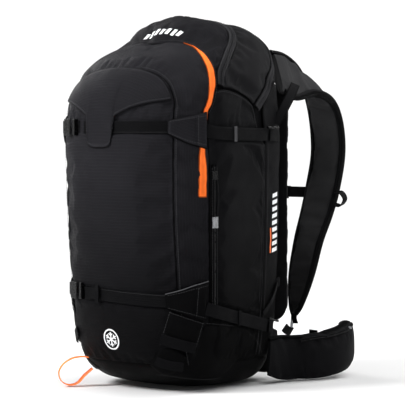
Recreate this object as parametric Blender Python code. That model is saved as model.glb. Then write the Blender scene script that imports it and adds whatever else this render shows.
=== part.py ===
"""Avalanche airbag backpack of about 30 litres, standing on its base.

The outer face looks along -Y, the wearer's back is at +Y and the wearer's right is +X. The origin is on
the ground under the middle of the pack. Each fabric panel is a closed shell on one smooth form; the webbing,
buckles and harness lie on that form or hang clear of it.
"""
import math

import bmesh
import bpy
import numpy as np
from mathutils import Vector

# Sections of the form, from the ground up: height, half width, middle, reach to the front, reach to the rear,
# roundness of the front half and of the rear half (2 is an ellipse, more is squarer).
SECTIONS = (
    (0.000, 0.070, 0.030, 0.040, 0.085, 2.30, 3.0),
    (0.006, 0.098, 0.010, 0.064, 0.118, 2.30, 3.6),
    (0.018, 0.118, -0.005, 0.084, 0.138, 2.30, 4.2),
    (0.040, 0.131, -0.014, 0.103, 0.150, 2.30, 5.0),
    (0.075, 0.139, -0.019, 0.115, 0.156, 2.25, 5.6),
    (0.140, 0.146, -0.020, 0.127, 0.157, 2.20, 6.0),
    (0.250, 0.151, -0.020, 0.139, 0.158, 2.20, 6.0),
    (0.350, 0.153, -0.020, 0.144, 0.158, 2.20, 6.0),
    (0.420, 0.153, -0.020, 0.145, 0.158, 2.20, 6.0),
    (0.464, 0.151, -0.014, 0.143, 0.152, 2.20, 5.6),
    (0.502, 0.146, -0.002, 0.131, 0.140, 2.15, 5.2),
    (0.533, 0.137, 0.019, 0.112, 0.119, 2.10, 4.8),
    (0.560, 0.119, 0.044, 0.080, 0.096, 2.05, 4.2),
    (0.586, 0.086, 0.045, 0.054, 0.074, 2.05, 3.4),
    (0.605, 0.018, 0.040, 0.012, 0.016, 2.05, 2.4),
)
TOP = SECTIONS[-1][0]
CORE_Y = 0.03
CORE_LOW = 0.10
CORE_HIGH = 0.45

GAP = 0.0003
SEAM_GAP = 0.0007
SHELL = 0.0025
WEBBING = 0.0016
WEBBING_LIFT = 0.0010
FRONT_WEBBING_WIDTH = 0.0205

BASE_SEAM = 0.045
FRONT_SEAM_X = 0.1135
STITCH_Y = 0.065
PANEL_REAR = STITCH_Y - 0.0012
YOKE_EDGE = 0.497
BACK_FACE = 0.138
PAD_FACE = 0.160
LUMBAR_FACE = 0.178

UPPER_STRAP = 0.4245
LOWER_STRAP = 0.1520
STERNUM_HEIGHT = 0.311

# Strap centre line seen from the side: (y, z, inner edge x, outer edge x)
SHOULDER_STRAP = (
    (0.1450, 0.5510, 0.045, 0.120),
    (0.1780, 0.5460, 0.046, 0.120),
    (0.2345, 0.5235, 0.048, 0.120),
    (0.2875, 0.4845, 0.050, 0.120),
    (0.3185, 0.4375, 0.050, 0.120),
    (0.3270, 0.3800, 0.050, 0.120),
    (0.3110, 0.3170, 0.050, 0.120),
    (0.2905, 0.2730, 0.054, 0.120),
    (0.2650, 0.2285, 0.060, 0.119),
    (0.2415, 0.1680, 0.066, 0.117),
    (0.2215, 0.1230, 0.081, 0.112),
    (0.2140, 0.1060, 0.091, 0.105),
)
STRAP_THICKNESS = 0.014

# Hip fin seen from above: (x, y, half height, half thickness)
HIP_FIN = (
    (0.1310, 0.1610, 0.0330, 0.0120),
    (0.1460, 0.1850, 0.0380, 0.0155),
    (0.1590, 0.2200, 0.0400, 0.0170),
    (0.1620, 0.2580, 0.0430, 0.0165),
    (0.1500, 0.2900, 0.0460, 0.0135),
    (0.1300, 0.3070, 0.0440, 0.0090),
)
FIN_FOOT = 0.0015
FIN_HINGE = (0.1240, 0.1540)

FLAP_HINGE = (0.0, -0.1120, 0.5175)
FLAP_OUT = 0.0064
FLAP_THICKNESS = 0.0020
ICE_LOOP_HINGE = (-0.0775, -0.1095, 0.0380)
BUCKLE_START = -0.056

ZIP_HALF = 0.0068
SIDE_ZIP = ((-0.0530, 0.134), (-0.0599, 0.28), (-0.0615, 0.365))
SIDE_ZIP_OUT = 0.0055
ZIP_TOP = 0.348
TAG_CENTRE = 0.2735
ZIP_CORD_DIAMETER = 0.0030
ZIP_CORD_ROUTE = (
    (0.1533, -0.0600, 0.3401),
    (0.1540, -0.0582, 0.3250),
    (0.1538, -0.0576, 0.3100),
    (0.1532, -0.0582, 0.2950),
    (0.1525, -0.0590, 0.2830),
)

HIP_BELT_HEIGHT = 0.0450
HIP_WEBBING_ENDS = ((0.1285, 0.3085), (0.0620, 0.3280))

UNIT_X = -0.0400
UNIT_Y = 0.0800
UNIT_LOW = 0.3900
UNIT_HIGH = 0.4350
CARTRIDGE_RADIUS = 0.0240
CARTRIDGE_FOOT = 0.1850
LEVER_PIVOT = (UNIT_X - 0.0100, UNIT_Y, UNIT_HIGH + 0.0060)

CABLE_ROUTE = (
    (-0.0610, 0.0800, 0.4600),
    (-0.0680, 0.0830, 0.4900),
    (-0.0770, 0.0960, 0.5240),
    (-0.0800, 0.1160, 0.5450),
    (-0.0800, 0.1340, 0.5610),
    (-0.0800, 0.1490, 0.5680),
    (-0.0810, 0.1720, 0.5625),
    (-0.0820, 0.2080, 0.5480),
    (-0.0830, 0.2600, 0.5240),
    (-0.0840, 0.3060, 0.4800),
    (-0.0850, 0.3330, 0.4350),
    (-0.0850, 0.3425, 0.4010),
)
CABLE_EXIT = 4
CABLE_DIAMETER = 0.0050

TRIGGER_PULL = (0.0, -0.10, -0.995)
TRIGGER_PLACE = (-0.0850, 0.3400, 0.3520)

CHARCOAL = (0.030, 0.030, 0.034)
CHARCOAL_DARK = (0.020, 0.020, 0.023)
WEBBING_BLACK = (0.012, 0.012, 0.013)
ORANGE = (0.90, 0.22, 0.05)
SILVER = (0.62, 0.63, 0.65)
BUCKLE_BLACK = (0.015, 0.015, 0.016)


def clear_scene():
    for item in list(bpy.data.objects):
        bpy.data.objects.remove(item)


def material(name, colour, roughness, metallic=0.0):
    made = bpy.data.materials.get(name)
    if made is None:
        made = bpy.data.materials.new(name)
        made.use_nodes = True
        shader = made.node_tree.nodes["Principled BSDF"]
        shader.inputs["Base Color"].default_value = (*colour, 1.0)
        shader.inputs["Roughness"].default_value = roughness
        shader.inputs["Metallic"].default_value = metallic
    return made


def fabric():
    return material("pack_fabric", CHARCOAL, 0.72)


def dark_fabric():
    return material("side_fabric", CHARCOAL_DARK, 0.78)


def webbing():
    return material("webbing", WEBBING_BLACK, 0.66)


def zip_tape():
    return material("zip_tape", (0.055, 0.055, 0.060), 0.6)


def orange():
    return material("orange_trim", ORANGE, 0.6)


def buckle_plastic():
    return material("buckle_plastic", BUCKLE_BLACK, 0.42)


def foam():
    return material("harness_mesh", (0.018, 0.018, 0.020), 0.85)


def silver():
    return material("silver_metal", SILVER, 0.3, 1.0)


# ---------------------------------------------------------------- form

def section_table(per_span=40):
    rows = np.array(SECTIONS)
    slope = np.gradient(rows, axis=0)
    t = np.linspace(0.0, 1.0, per_span, endpoint=False)[:, None]
    spans = []
    for i in range(len(rows) - 1):
        spans.append((2 * t**3 - 3 * t**2 + 1) * rows[i] + (t**3 - 2 * t**2 + t) * slope[i]
                     + (3 * t**2 - 2 * t**3) * rows[i + 1] + (t**3 - t**2) * slope[i + 1])
    table = np.vstack(spans + [rows[-1:]])
    table[:, 0] = np.maximum.accumulate(table[:, 0])
    return table


TABLE = section_table()


def section(height):
    return [np.interp(height, TABLE[:, 0], TABLE[:, k]) for k in range(1, 7)]


def fullness(points):
    """Below 1 inside the form, above 1 outside it."""
    half, middle, front_reach, rear_reach, front_power, rear_power = section(points[..., 2])
    along = points[..., 1] - middle
    power = np.where(along < 0, front_power, rear_power)
    reach = np.where(along < 0, front_reach, rear_reach)
    value = (np.abs(points[..., 0]) / half) ** power + (np.abs(along) / reach) ** power
    return np.where((points[..., 2] < 0.0) | (points[..., 2] > TOP), 9.0, value)


def skin(points, out=0.0):
    """Moves points along the line from the form's core until they are on the form, then out by a distance."""
    points = np.asarray(points, float)
    core = np.zeros_like(points)
    core[..., 1] = CORE_Y
    core[..., 2] = np.clip(points[..., 2], CORE_LOW, CORE_HIGH)
    ray = points - core
    ray /= np.linalg.norm(ray, axis=-1, keepdims=True)
    low = np.zeros(points.shape[:-1])
    high = np.full(points.shape[:-1], 0.4)
    for _ in range(30):
        middle = (low + high) / 2
        inside = fullness(core + ray * middle[..., None]) < 1
        low = np.where(inside, middle, low)
        high = np.where(inside, high, middle)
    return core + ray * (low + out)[..., None]


def front(x, z):
    half, middle, reach, _, power, _ = section(z)
    return (x, middle - reach * (1 - min(abs(x) / half, 1.0) ** power) ** (1 / power), z)


def side(y, z):
    half, middle, front_reach, rear_reach, front_power, rear_power = section(z)
    power, reach = (front_power, front_reach) if y < middle else (rear_power, rear_reach)
    return (half * (1 - min(abs(y - middle) / reach, 1.0) ** power) ** (1 / power), y, z)


def crown(x, y):
    """Point on the top of the form over (x, y)."""
    return tuple(skin((x, y, TOP - 0.35 * (x * x + (y - 0.04) ** 2) / 0.1)))


# ---------------------------------------------------------------- meshes

def smooth_path(points, fractions):
    """Points at fractions of the length of a smooth curve through the given points."""
    points = np.array(points, float)
    ends = np.vstack([2 * points[0] - points[1], points, 2 * points[-1] - points[-2]])
    t = np.linspace(0.0, 1.0, 10, endpoint=False)[:, None]
    spans = []
    for a, b, c, d in zip(ends, ends[1:], ends[2:], ends[3:]):
        spans.append(0.5 * (2 * b + (c - a) * t + (2 * a - 5 * b + 4 * c - d) * t**2
                            + (3 * b - a - 3 * c + d) * t**3))
    curve = np.vstack(spans + [points[-1:]])
    steps = np.linalg.norm(np.diff(curve[:, :3], axis=0), axis=1)
    reach = np.concatenate([[0.0], np.cumsum(steps)])
    wanted = np.asarray(fractions) * reach[-1]
    return np.stack([np.interp(wanted, reach, curve[:, k]) for k in range(curve.shape[1])], -1)


def even(count):
    return np.linspace(0.0, 1.0, count)


def coons(bottom, top, left, right, columns, rows, gap=SEAM_GAP):
    """Grid of points between four edges, drawn in from each edge by a gap. Columns and rows are counts or
    lists of fractions."""
    across = (even(columns) if np.ndim(columns) == 0 else np.array(columns))[None, :]
    up = (even(rows) if np.ndim(rows) == 0 else np.array(rows))[:, None]
    height = np.linalg.norm(smooth_path(top, across) - smooth_path(bottom, across), axis=-1)
    width = np.linalg.norm(smooth_path(right, up) - smooth_path(left, up), axis=-1)
    draw_v = np.minimum(gap / np.maximum(height, gap), 0.3)
    draw_u = np.minimum(gap / np.maximum(width, gap), 0.3)
    u = draw_u + (1 - 2 * draw_u) * across
    v = draw_v + (1 - 2 * draw_v) * up
    corners = [np.array(edge[end], float) for edge in (bottom, top) for end in (0, -1)]
    u3, v3 = u[..., None], v[..., None]
    ruled_up = (1 - v3) * smooth_path(bottom, u) + v3 * smooth_path(top, u)
    ruled_across = (1 - u3) * smooth_path(left, v) + u3 * smooth_path(right, v)
    flat = ((1 - u3) * (1 - v3) * corners[0] + u3 * (1 - v3) * corners[1]
            + (1 - u3) * v3 * corners[2] + u3 * v3 * corners[3])
    return ruled_up + ruled_across - flat


def solid(name, verts, faces, look, sharp=math.radians(35)):
    mesh = bpy.data.meshes.new(name)
    mesh.from_pydata([tuple(v) for v in verts], [], faces)
    work = bmesh.new()
    work.from_mesh(mesh)
    bmesh.ops.recalc_face_normals(work, faces=work.faces)
    work.to_mesh(mesh)
    work.free()
    mesh.shade_smooth()
    mesh.set_sharp_from_angle(angle=sharp)
    mesh.materials.append(look)
    made = bpy.data.objects.new(name, mesh)
    bpy.context.collection.objects.link(made)
    return made


def slab(name, outer, inner, look):
    """Closed solid between two grids of points."""
    rows, columns = outer.shape[:2]
    count = rows * columns
    faces = []
    for r in range(rows - 1):
        for c in range(columns - 1):
            a = r * columns + c
            quad = (a, a + 1, a + columns + 1, a + columns)
            faces.append(quad)
            faces.append(tuple(count + k for k in reversed(quad)))
    rim = list(range(columns))
    rim += [r * columns + columns - 1 for r in range(1, rows)]
    rim += [(rows - 1) * columns + c for c in range(columns - 2, -1, -1)]
    rim += [r * columns for r in range(rows - 2, 0, -1)]
    for a, b in zip(rim, rim[1:] + rim[:1]):
        faces.append((b, a, count + a, count + b))
    verts = np.concatenate([outer.reshape(-1, 3), inner.reshape(-1, 3)])
    return solid(name, verts, faces, look)


def shell(name, grid, look, out=0.0, thickness=SHELL):
    return slab(name, skin(grid, out), skin(grid, out - thickness), look)


def mirror_x(points):
    return [(-p[0], *p[1:]) for p in points]


def over_the_middle(points):
    """Right-hand points that end on the centre line, carried on to the left."""
    return list(points) + mirror_x(list(points)[-2::-1])


def tube_grid(name, rings, look):
    """Closed solid through a row of rings, with a flat cap on each end."""
    sides = len(rings[0])
    verts = [p for ring in rings for p in ring]
    faces = [tuple(range(sides)), tuple(len(verts) - 1 - k for k in range(sides))]
    for r in range(len(rings) - 1):
        for k in range(sides):
            n = (k + 1) % sides
            faces.append((r * sides + k, (r + 1) * sides + k, (r + 1) * sides + n, r * sides + n))
    return solid(name, verts, faces, look)


def sweep(name, centres, across, half_widths, half_depths, look, sides=10, power=3.0):
    """Solid along a centre line; across is the direction of its width at each point."""
    centres = np.array(centres, float)
    count = len(centres)
    across = np.broadcast_to(np.array(across, float), (count, 3))
    half_widths = np.broadcast_to(half_widths, count)
    half_depths = np.broadcast_to(half_depths, count)
    tangents = np.gradient(centres, axis=0)
    rings = []
    angles = (np.arange(sides) + 0.5) * 2 * math.pi / sides
    c, s = np.cos(angles), np.sin(angles)
    wide = np.sign(c) * np.abs(c) ** (2 / power)
    deep = np.sign(s) * np.abs(s) ** (2 / power)
    for i in range(count):
        t = tangents[i] / np.linalg.norm(tangents[i])
        w = across[i] - t * (across[i] @ t)
        w /= np.linalg.norm(w)
        d = np.cross(t, w)
        ring = centres[i] + np.outer(wide * half_widths[i], w) + np.outer(deep * half_depths[i], d)
        rings.append(ring)
    return tube_grid(name, rings, look)


def frame_at(point, along, out):
    """Three unit axes at a point: along, across and out."""
    x = Vector(along).normalized()
    z = Vector(out)
    z = (z - x * z.dot(x)).normalized()
    return Vector(point), x, z.cross(x), z


def block(name, frame, size, look, bevel=0.0, offset=(0, 0, 0)):
    """Box in a frame of point, along, across and out."""
    origin, x, y, z = frame
    centre = origin + x * offset[0] + y * offset[1] + z * offset[2]
    verts = []
    for i in (-0.5, 0.5):
        for j in (-0.5, 0.5):
            for k in (-0.5, 0.5):
                verts.append(centre + x * size[0] * i + y * size[1] * j + z * size[2] * k)
    faces = [(0, 1, 3, 2), (4, 6, 7, 5), (0, 4, 5, 1), (2, 3, 7, 6), (0, 2, 6, 4), (1, 5, 7, 3)]
    made = solid(name, verts, faces, look)
    if bevel:
        rounding = made.modifiers.new("rounded edges", "BEVEL")
        rounding.width = bevel
        rounding.segments = 2
    return made


def cutter(target, name, frame, size, offset=(0, 0, 0)):
    """Cuts a box out of the target."""
    tool = block(name, frame, size, buckle_plastic(), offset=offset)
    tool.hide_render = True
    tool.display_type = "WIRE"
    cut = target.modifiers.new(name, "BOOLEAN")
    cut.operation = "DIFFERENCE"
    cut.object = tool


def added(target, name, frame, size, bevel, offset):
    """Joins a box to the target."""
    shape = block(name, frame, size, target.data.materials[0], bevel, offset)
    shape.hide_render = True
    shape.display_type = "WIRE"
    join = target.modifiers.new(name, "BOOLEAN")
    join.operation = "UNION"
    join.object = shape


def move_origin(made, point):
    """Puts an object's origin at a point without moving its mesh in the world."""
    shift = Vector(point)
    for vertex in made.data.vertices:
        vertex.co -= shift
    made.location = shift
    return made


# ---------------------------------------------------------------- seams (right-hand side)

def front_seam():
    heights = (BASE_SEAM, 0.11, 0.17, 0.30, 0.43)
    widths = (-0.0050, -0.0015, 0.0, 0.0012, 0.0020)
    return [front(FRONT_SEAM_X + w, z) for z, w in zip(heights, widths)]


def arch():
    points = ((0.1135, 0.459), (0.1070, 0.4766), (0.0980, 0.491), (0.0870, 0.5005), (0.0717, 0.5087),
              (0.0555, 0.5137), (0.0350, 0.5175), (0.0, 0.5195))
    return [front(x, z) for x, z in points]


def side_zip_line():
    return [side(-0.054, BASE_SEAM), side(-0.0615, 0.134), side(-0.0684, 0.28), side(-0.0700, 0.365),
            side(-0.0735, 0.405), side(-0.0740, 0.4476)]


def lid_seam():
    return [side(-0.0740, 0.4476), side(-0.0650, 0.4611), side(-0.0550, 0.4833), (0.1360, -0.0485, 0.5057),
            (0.1280, -0.0450, 0.5202), (0.1175, -0.0420, 0.5324), (0.1040, -0.0390, 0.5416),
            (0.0790, -0.0300, 0.5536), (0.0556, -0.0280, 0.5599), (0.0286, -0.0306, 0.5615),
            (0.0, -0.0345, 0.5610)]


def lid_zip_line():
    return [side(-0.0405, 0.4900), (0.1397, -0.0342, 0.5091), (0.1341, -0.0168, 0.5287),
            (0.1244, 0.0057, 0.5471), (0.1123, 0.0288, 0.5643), crown(0.0881, 0.0460),
            crown(0.0500, 0.0640), crown(0.0, 0.0740)]


def airbag_zip_line():
    return [side(0.0421, 0.4554), side(0.0739, 0.4850), side(0.0850, 0.5010), (0.1357, 0.1029, 0.5184),
            (0.1290, 0.1150, 0.5340), (0.1150, 0.1180, 0.5490), crown(0.0880, 0.1120),
            crown(0.0500, 0.1180), crown(0.0, 0.1230)]


def side_top():
    return [side(-0.0550, 0.4820), side(-0.0416, 0.4850), side(-0.0245, 0.4836), side(0.0, 0.4776),
            side(0.0245, 0.4666), side(0.0341, 0.4570), side(0.0433, 0.4279), side(0.0520, 0.4120),
            side(0.0585, 0.4010), side(PANEL_REAR, 0.3970)]


def beside(points, distance):
    """The same line on the form, moved to one side of its direction."""
    points = skin(points)
    tangent = np.gradient(points, axis=0)
    outward = skin(points, 0.01) - points
    step = np.cross(tangent, outward)
    step /= np.linalg.norm(step, axis=-1, keepdims=True)
    step[0] = step[1]
    step[-1] = (0.0, -1.0 if step[-1][1] < 0 else 1.0, 0.0)
    return [tuple(p) for p in skin(points + step * distance)]


# ---------------------------------------------------------------- fabric shells

def front_panel():
    left = mirror_x(front_seam())
    base = [front(x, BASE_SEAM) for x in (-0.1085, -0.06, 0.0, 0.06, 0.1085)]
    corner = arch()[2:]
    top = mirror_x(corner) + corner[-2::-1]
    rise = arch()[:3]
    rows = (0.0, 0.12, 0.26, 0.40, 0.55, 0.70, 0.81, 0.865, 0.90, 0.93, 0.96, 0.98, 1.0)
    grid = coons(base, top, left + mirror_x(rise), front_seam() + rise, 15, rows)
    return shell("front_panel", grid, fabric())


def crown_panel():
    inner = over_the_middle(front_seam() + arch())
    outer = over_the_middle(side_zip_line() + trim_edge())
    start = [inner[0], outer[0]]
    straight = np.linspace(0.0, 0.34, 8, endpoint=False)
    columns = np.concatenate([straight, np.linspace(0.34, 0.66, 25), 1.0 - straight[::-1]])
    grid = coons(inner, outer, start, mirror_x(start), columns, 3, 0.0012)
    return shell("crown_panel", grid, fabric())


def trim_edge():
    """Front edge of the orange trim, from the zip line up to the lid seam's middle."""
    return [side(-0.0800, 0.4594), side(-0.0690, 0.4864), (0.1275, -0.0560, 0.5152),
            (0.1165, -0.0520, 0.5282), (0.1016, -0.0470, 0.5398), (0.0800, -0.0340, 0.5512),
            (0.0556, -0.0300, 0.5585), (0.0286, -0.0330, 0.5600), (0.0, -0.0370, 0.5590)]


def lid_panel():
    front_edge = over_the_middle(lid_seam()[2:])
    rear_edge = over_the_middle(beside(lid_zip_line(), -ZIP_HALF))
    right_end = [front_edge[0], rear_edge[0]]
    grid = coons(front_edge, rear_edge, right_end, mirror_x(right_end), 25, 5)
    return shell("lid_panel", grid, fabric())


def zip_band(name, line):
    near = over_the_middle(beside(line, -ZIP_HALF))
    far = over_the_middle(beside(line, ZIP_HALF))
    end = [near[0], far[0]]
    grid = coons(near, far, end, mirror_x(end), 25, 2, 0.0004)
    return shell(name, grid, zip_tape(), 0.0006)


def airbag_cover_grid(gap=SEAM_GAP):
    near = over_the_middle(beside(lid_zip_line(), ZIP_HALF))
    far = over_the_middle(beside(airbag_zip_line(), -ZIP_HALF))
    end = [near[0], side(-0.010, 0.4850), side(0.0200, 0.4740), far[0]]
    return coons(near, far, end, mirror_x(end), 23, 5, gap)


def rear_yoke_panel():
    near = over_the_middle(beside(airbag_zip_line(), ZIP_HALF)[2:])
    far_right = [side(0.098, YOKE_EDGE), side(0.118, YOKE_EDGE)]
    far_right += [tuple(skin((x, 0.138, YOKE_EDGE))) for x in (0.132, 0.110, 0.070, 0.035, 0.0)]
    far = over_the_middle(far_right)
    end = [near[0], far[0]]
    grid = coons(near, far, end, mirror_x(end), 25, 4, 0.0022)
    made = shell("rear_yoke_panel", grid, fabric())
    hole = np.array(CABLE_ROUTE[CABLE_EXIT])
    run = Vector(np.array(CABLE_ROUTE[CABLE_EXIT + 1]) - np.array(CABLE_ROUTE[CABLE_EXIT - 1]))
    frame = frame_at(hole, run, (1, 0, 0))
    cutter(made, "cable_grommet_cut", frame, (0.030, 0.009, 0.009))
    return made


def side_panel(name, sign):
    front_edge = side_zip_line()[:5]
    front_edge += [side(-0.0700, 0.4476), side(-0.0620, 0.4611), side(-0.0550, 0.4820)]
    rear_edge = [side(PANEL_REAR, z) for z in (BASE_SEAM, 0.14, 0.25, 0.35, 0.397)]
    base = [side(y, BASE_SEAM) for y in (-0.054, 0.0, PANEL_REAR)]
    grid = coons(base, side_top(), front_edge, rear_edge, 8, 10)
    if sign < 0:
        grid = grid * np.array((-1, 1, 1))
    return shell(name, grid, dark_fabric())


def back_shell():
    rise = [side(STITCH_Y, z) for z in (BASE_SEAM, 0.14, 0.25, 0.35, 0.40)]
    rise += [side(0.0630, 0.4150), side(0.0605, 0.43), side(0.0610, 0.455), side(0.080, 0.4800),
             side(0.098, YOKE_EDGE)]
    base_right = [side(y, BASE_SEAM) for y in (STITCH_Y, 0.10, 0.125)]
    base_right += [tuple(skin((x, 0.136, BASE_SEAM))) for x in (0.115, 0.06, 0.0)]
    top_right = [side(0.098, YOKE_EDGE), side(0.118, YOKE_EDGE)]
    top_right += [tuple(skin((x, 0.138, YOKE_EDGE))) for x in (0.132, 0.110, 0.070, 0.035, 0.0)]
    grid = coons(over_the_middle(base_right), over_the_middle(top_right), rise, mirror_x(rise), 25, 8)
    return shell("back_shell", grid, dark_fabric())


def base_panel():
    """Bowl under the base seam, with a flat middle to stand on."""
    turns = np.linspace(0, 2 * math.pi, 28, endpoint=False)
    levels = (BASE_SEAM - SEAM_GAP * 2, 0.030, 0.018, 0.008, 0.0)
    rings = []
    for z in levels:
        half, middle, front_reach, rear_reach, front_power, rear_power = section(z)
        ring = []
        for turn in turns:
            c, s = math.cos(turn), math.sin(turn)
            power, reach = (front_power, front_reach) if s < 0 else (rear_power, rear_reach)
            x = half * math.copysign(abs(c) ** (2 / power), c)
            y = middle + reach * math.copysign(abs(s) ** (2 / power), s)
            ring.append((x, y, z))
        rings.append(np.array(ring))
    inner = [ring.copy() for ring in rings]
    centre = np.array((0.0, CORE_Y, CORE_LOW))
    for ring, level in zip(inner, levels):
        pull = centre - ring
        pull /= np.linalg.norm(pull, axis=1, keepdims=True)
        ring += pull * SHELL * 1.6
        ring[:, 2] = np.maximum(ring[:, 2], SHELL)
    inner[0][:, 2] = levels[0]
    order = rings + inner[::-1]
    sides = len(turns)
    verts = [p for ring in order for p in ring]
    faces = []
    for r in range(len(order) - 1):
        if r == len(rings) - 1:
            continue
        for k in range(sides):
            n = (k + 1) % sides
            faces.append((r * sides + k, r * sides + n, (r + 1) * sides + n, (r + 1) * sides + k))
    last = len(order) - 1
    for k in range(sides):
        n = (k + 1) % sides
        faces.append((last * sides + k, last * sides + n, n, k))
    foot = len(rings) - 1
    faces.append(tuple(foot * sides + k for k in range(sides)))
    faces.append(tuple((foot + 1) * sides + k for k in reversed(range(sides))))
    return solid("base_panel", verts, faces, dark_fabric())


def pocket_flap():
    """Flap over the front pocket with its tab: columns that run from the arch down to the flap's edge."""
    columns = ((0.1090, 0.4690, 0.4660), (0.1030, 0.4800, 0.4645), (0.0920, 0.4935, 0.4625),
               (0.0780, 0.5035, 0.4600), (0.0620, 0.5095, 0.4555), (0.0480, 0.5130, 0.4500),
               (0.0360, 0.5150, 0.4440), (0.0285, 0.5160, 0.4370), (0.0245, 0.5165, 0.4020),
               (0.0170, 0.5170, 0.3930), (0.0, 0.5175, 0.3915))
    ordered = over_the_middle(columns)
    rows = 6
    grid = []
    for fraction in even(rows):
        grid.append([front(x, top + (edge - top) * fraction) for x, top, edge in ordered])
    made = shell("pocket_flap", np.array(grid), fabric(), FLAP_OUT, FLAP_THICKNESS)
    return move_origin(made, FLAP_HINGE)


# ---------------------------------------------------------------- trim, zips and loops

def orange_trim():
    """Orange facing that runs from the lid seam, under the upper strap, to the head of the side zip."""
    outer = [(0.0600, -0.0282, 0.5592), (0.0800, -0.0300, 0.5536), (0.1040, -0.0390, 0.5416),
             (0.1175, -0.0420, 0.5324), (0.1280, -0.0450, 0.5202), (0.1360, -0.0485, 0.5057),
             side(-0.0540, 0.4833), side(-0.0650, 0.4611), side(-0.0760, 0.4380), side(-0.0770, 0.41),
             side(-0.0760, 0.375), side(-0.0750, 0.3136)]
    inner = [(0.0600, -0.0305, 0.5580), (0.0800, -0.0345, 0.5510), (0.1016, -0.0475, 0.5398),
             (0.1165, -0.0525, 0.5282), (0.1275, -0.0570, 0.5152), (0.1345, -0.0615, 0.5000),
             side(-0.0690, 0.4800), side(-0.0800, 0.4594), side(-0.0880, 0.4380), side(-0.0900, 0.41),
             side(-0.0895, 0.375), side(-0.0890, 0.3136)]
    grid = coons(outer, inner, [outer[0], inner[0]], [outer[-1], inner[-1]], 29, 3, 0.0002)
    return shell("orange_trim", grid, orange(), 0.0016, 0.0008)


def side_zip_tape():
    line = smooth_path([side(y, z) for y, z in SIDE_ZIP], even(12))
    grid = np.array([skin(line + np.array((0, shift, 0))) for shift in (-0.004, 0.004)])
    return shell("side_zip_tape", grid, zip_tape(), 0.0018, 0.0010)


def zip_point(z, out):
    y = np.interp(z, [h for _, h in SIDE_ZIP], [y for y, _ in SIDE_ZIP])
    return skin(np.array(side(y, z)), out)


def zip_frame(z):
    centre = zip_point(z, SIDE_ZIP_OUT)
    along = Vector(zip_point(z - 0.02, SIDE_ZIP_OUT) - centre)
    return frame_at(centre, along, Vector(skin(centre, 0.02) - centre))


def side_zip_slider():
    frame = zip_frame(ZIP_TOP)
    made = block("side_zip_slider", frame, (0.015, 0.0090, 0.0036), silver(), 0.0009)
    return move_origin(made, frame[0])


def side_zip_cord():
    return cord("side_zip_cord", ZIP_CORD_ROUTE, ZIP_CORD_DIAMETER, 3)


def side_zip_tag():
    return block("side_zip_tag", zip_frame(TAG_CENTRE), (0.0180, 0.0100, 0.0028), silver(), 0.0007)


def cord(name, route, diameter, resolution):
    """Round cord along a smooth curve through the route's points."""
    length = np.linalg.norm(np.diff(np.array(route), axis=0), axis=1).sum()
    count = max(4, int(length / (2.5 * diameter)))
    curve = bpy.data.curves.new(name, "CURVE")
    curve.dimensions = "3D"
    curve.bevel_depth = diameter / 2
    curve.bevel_resolution = resolution
    curve.use_fill_caps = True
    spline = curve.splines.new("POLY")
    points = smooth_path(route, even(count))
    spline.points.add(count - 1)
    for point, place in zip(spline.points, points):
        point.co = (*place, 1.0)
    curve.materials.append(webbing())
    made = bpy.data.objects.new(name, curve)
    bpy.context.collection.objects.link(made)
    return made


def ice_axe_loop():
    """Flat tape sewn on at the base seam that stands out in a loop towards the left."""
    root = Vector(ICE_LOOP_HINGE)
    out = Vector((-0.62, -0.78, 0.0)).normalized()
    reach_and_height = ((0.0020, 0.0475), (0.0140, 0.0485), (0.0300, 0.0455), (0.0440, 0.0360),
                        (0.0505, 0.0230), (0.0460, 0.0090), (0.0340, 0.0028), (0.0200, 0.0055),
                        (0.0080, 0.0180), (-0.0050, 0.0290))
    places = [root + out * reach + Vector((0, 0, height - root.z)) for reach, height in reach_and_height]
    path = smooth_path([tuple(p) for p in places], even(22))
    across = Vector((0, 0, 1)).cross(out)
    made = sweep("ice_axe_loop", path, across, 0.0075, 0.0010, orange(), sides=8, power=6)
    return move_origin(made, ICE_LOOP_HINGE)


# ---------------------------------------------------------------- compression straps

def strap_strip(name, points, width, look, count, out=WEBBING_LIFT, thickness=WEBBING):
    """Webbing along the form; each point holds x, y, z, and width may change along it."""
    line = smooth_path(points, even(count))
    half = smooth_path([(w, 0, 0) for w in width], even(count))[:, :1] / 2 if np.ndim(width) else width / 2
    up = np.array((0, 0, 1.0))
    grid = np.array([skin(line - up * half), skin(line + up * half)])
    return shell(name, grid, look, out + thickness, thickness)


def front_webbing(name, left_z, right_z, end_x):
    xs = np.linspace(BUCKLE_START + 0.002, end_x, 9)
    points = [front(x, left_z + (right_z - left_z) * (x - xs[0]) / (xs[-1] - xs[0])) for x in xs]
    return strap_strip(name, points, FRONT_WEBBING_WIDTH, webbing(), 21)


def wing_strap(name, sign, edges, webbing_line):
    """Fabric wing that narrows to the front webbing, with the side webbing sewn to its back edge."""
    upper = [point for point, _ in edges]
    lower = [point for _, point in edges]
    line = smooth_path(webbing_line, even(14))
    half = FRONT_WEBBING_WIDTH / 2
    wing = coons(lower, upper, [lower[0], upper[0]], [lower[-1], upper[-1]], 9, 2, 0.0001)
    strip = np.array([line - (0, 0, half), line + (0, 0, half)])
    grid = np.concatenate([wing, strip[:, 1:]], axis=1)
    if sign < 0:
        grid = grid * np.array((-1, 1, 1))
    return shell(name, skin(grid), fabric(), WEBBING_LIFT + 0.0022 + WEBBING, WEBBING)


def upper_wing(name, sign):
    edges = [(front(0.1100, 0.4350), front(0.1100, 0.4135)), (front(0.1249, 0.4404), front(0.1212, 0.4051)),
             (front(0.1360, 0.4450), front(0.1309, 0.3980)), (side(-0.0745, 0.4484), side(-0.0760, 0.3900))]
    line = [side(-0.070, 0.4165), side(-0.045, 0.4150), side(-0.0174, 0.4138), side(0.020, 0.4132),
            side(0.0550, 0.4126)]
    return wing_strap(name, sign, edges, line)


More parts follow.
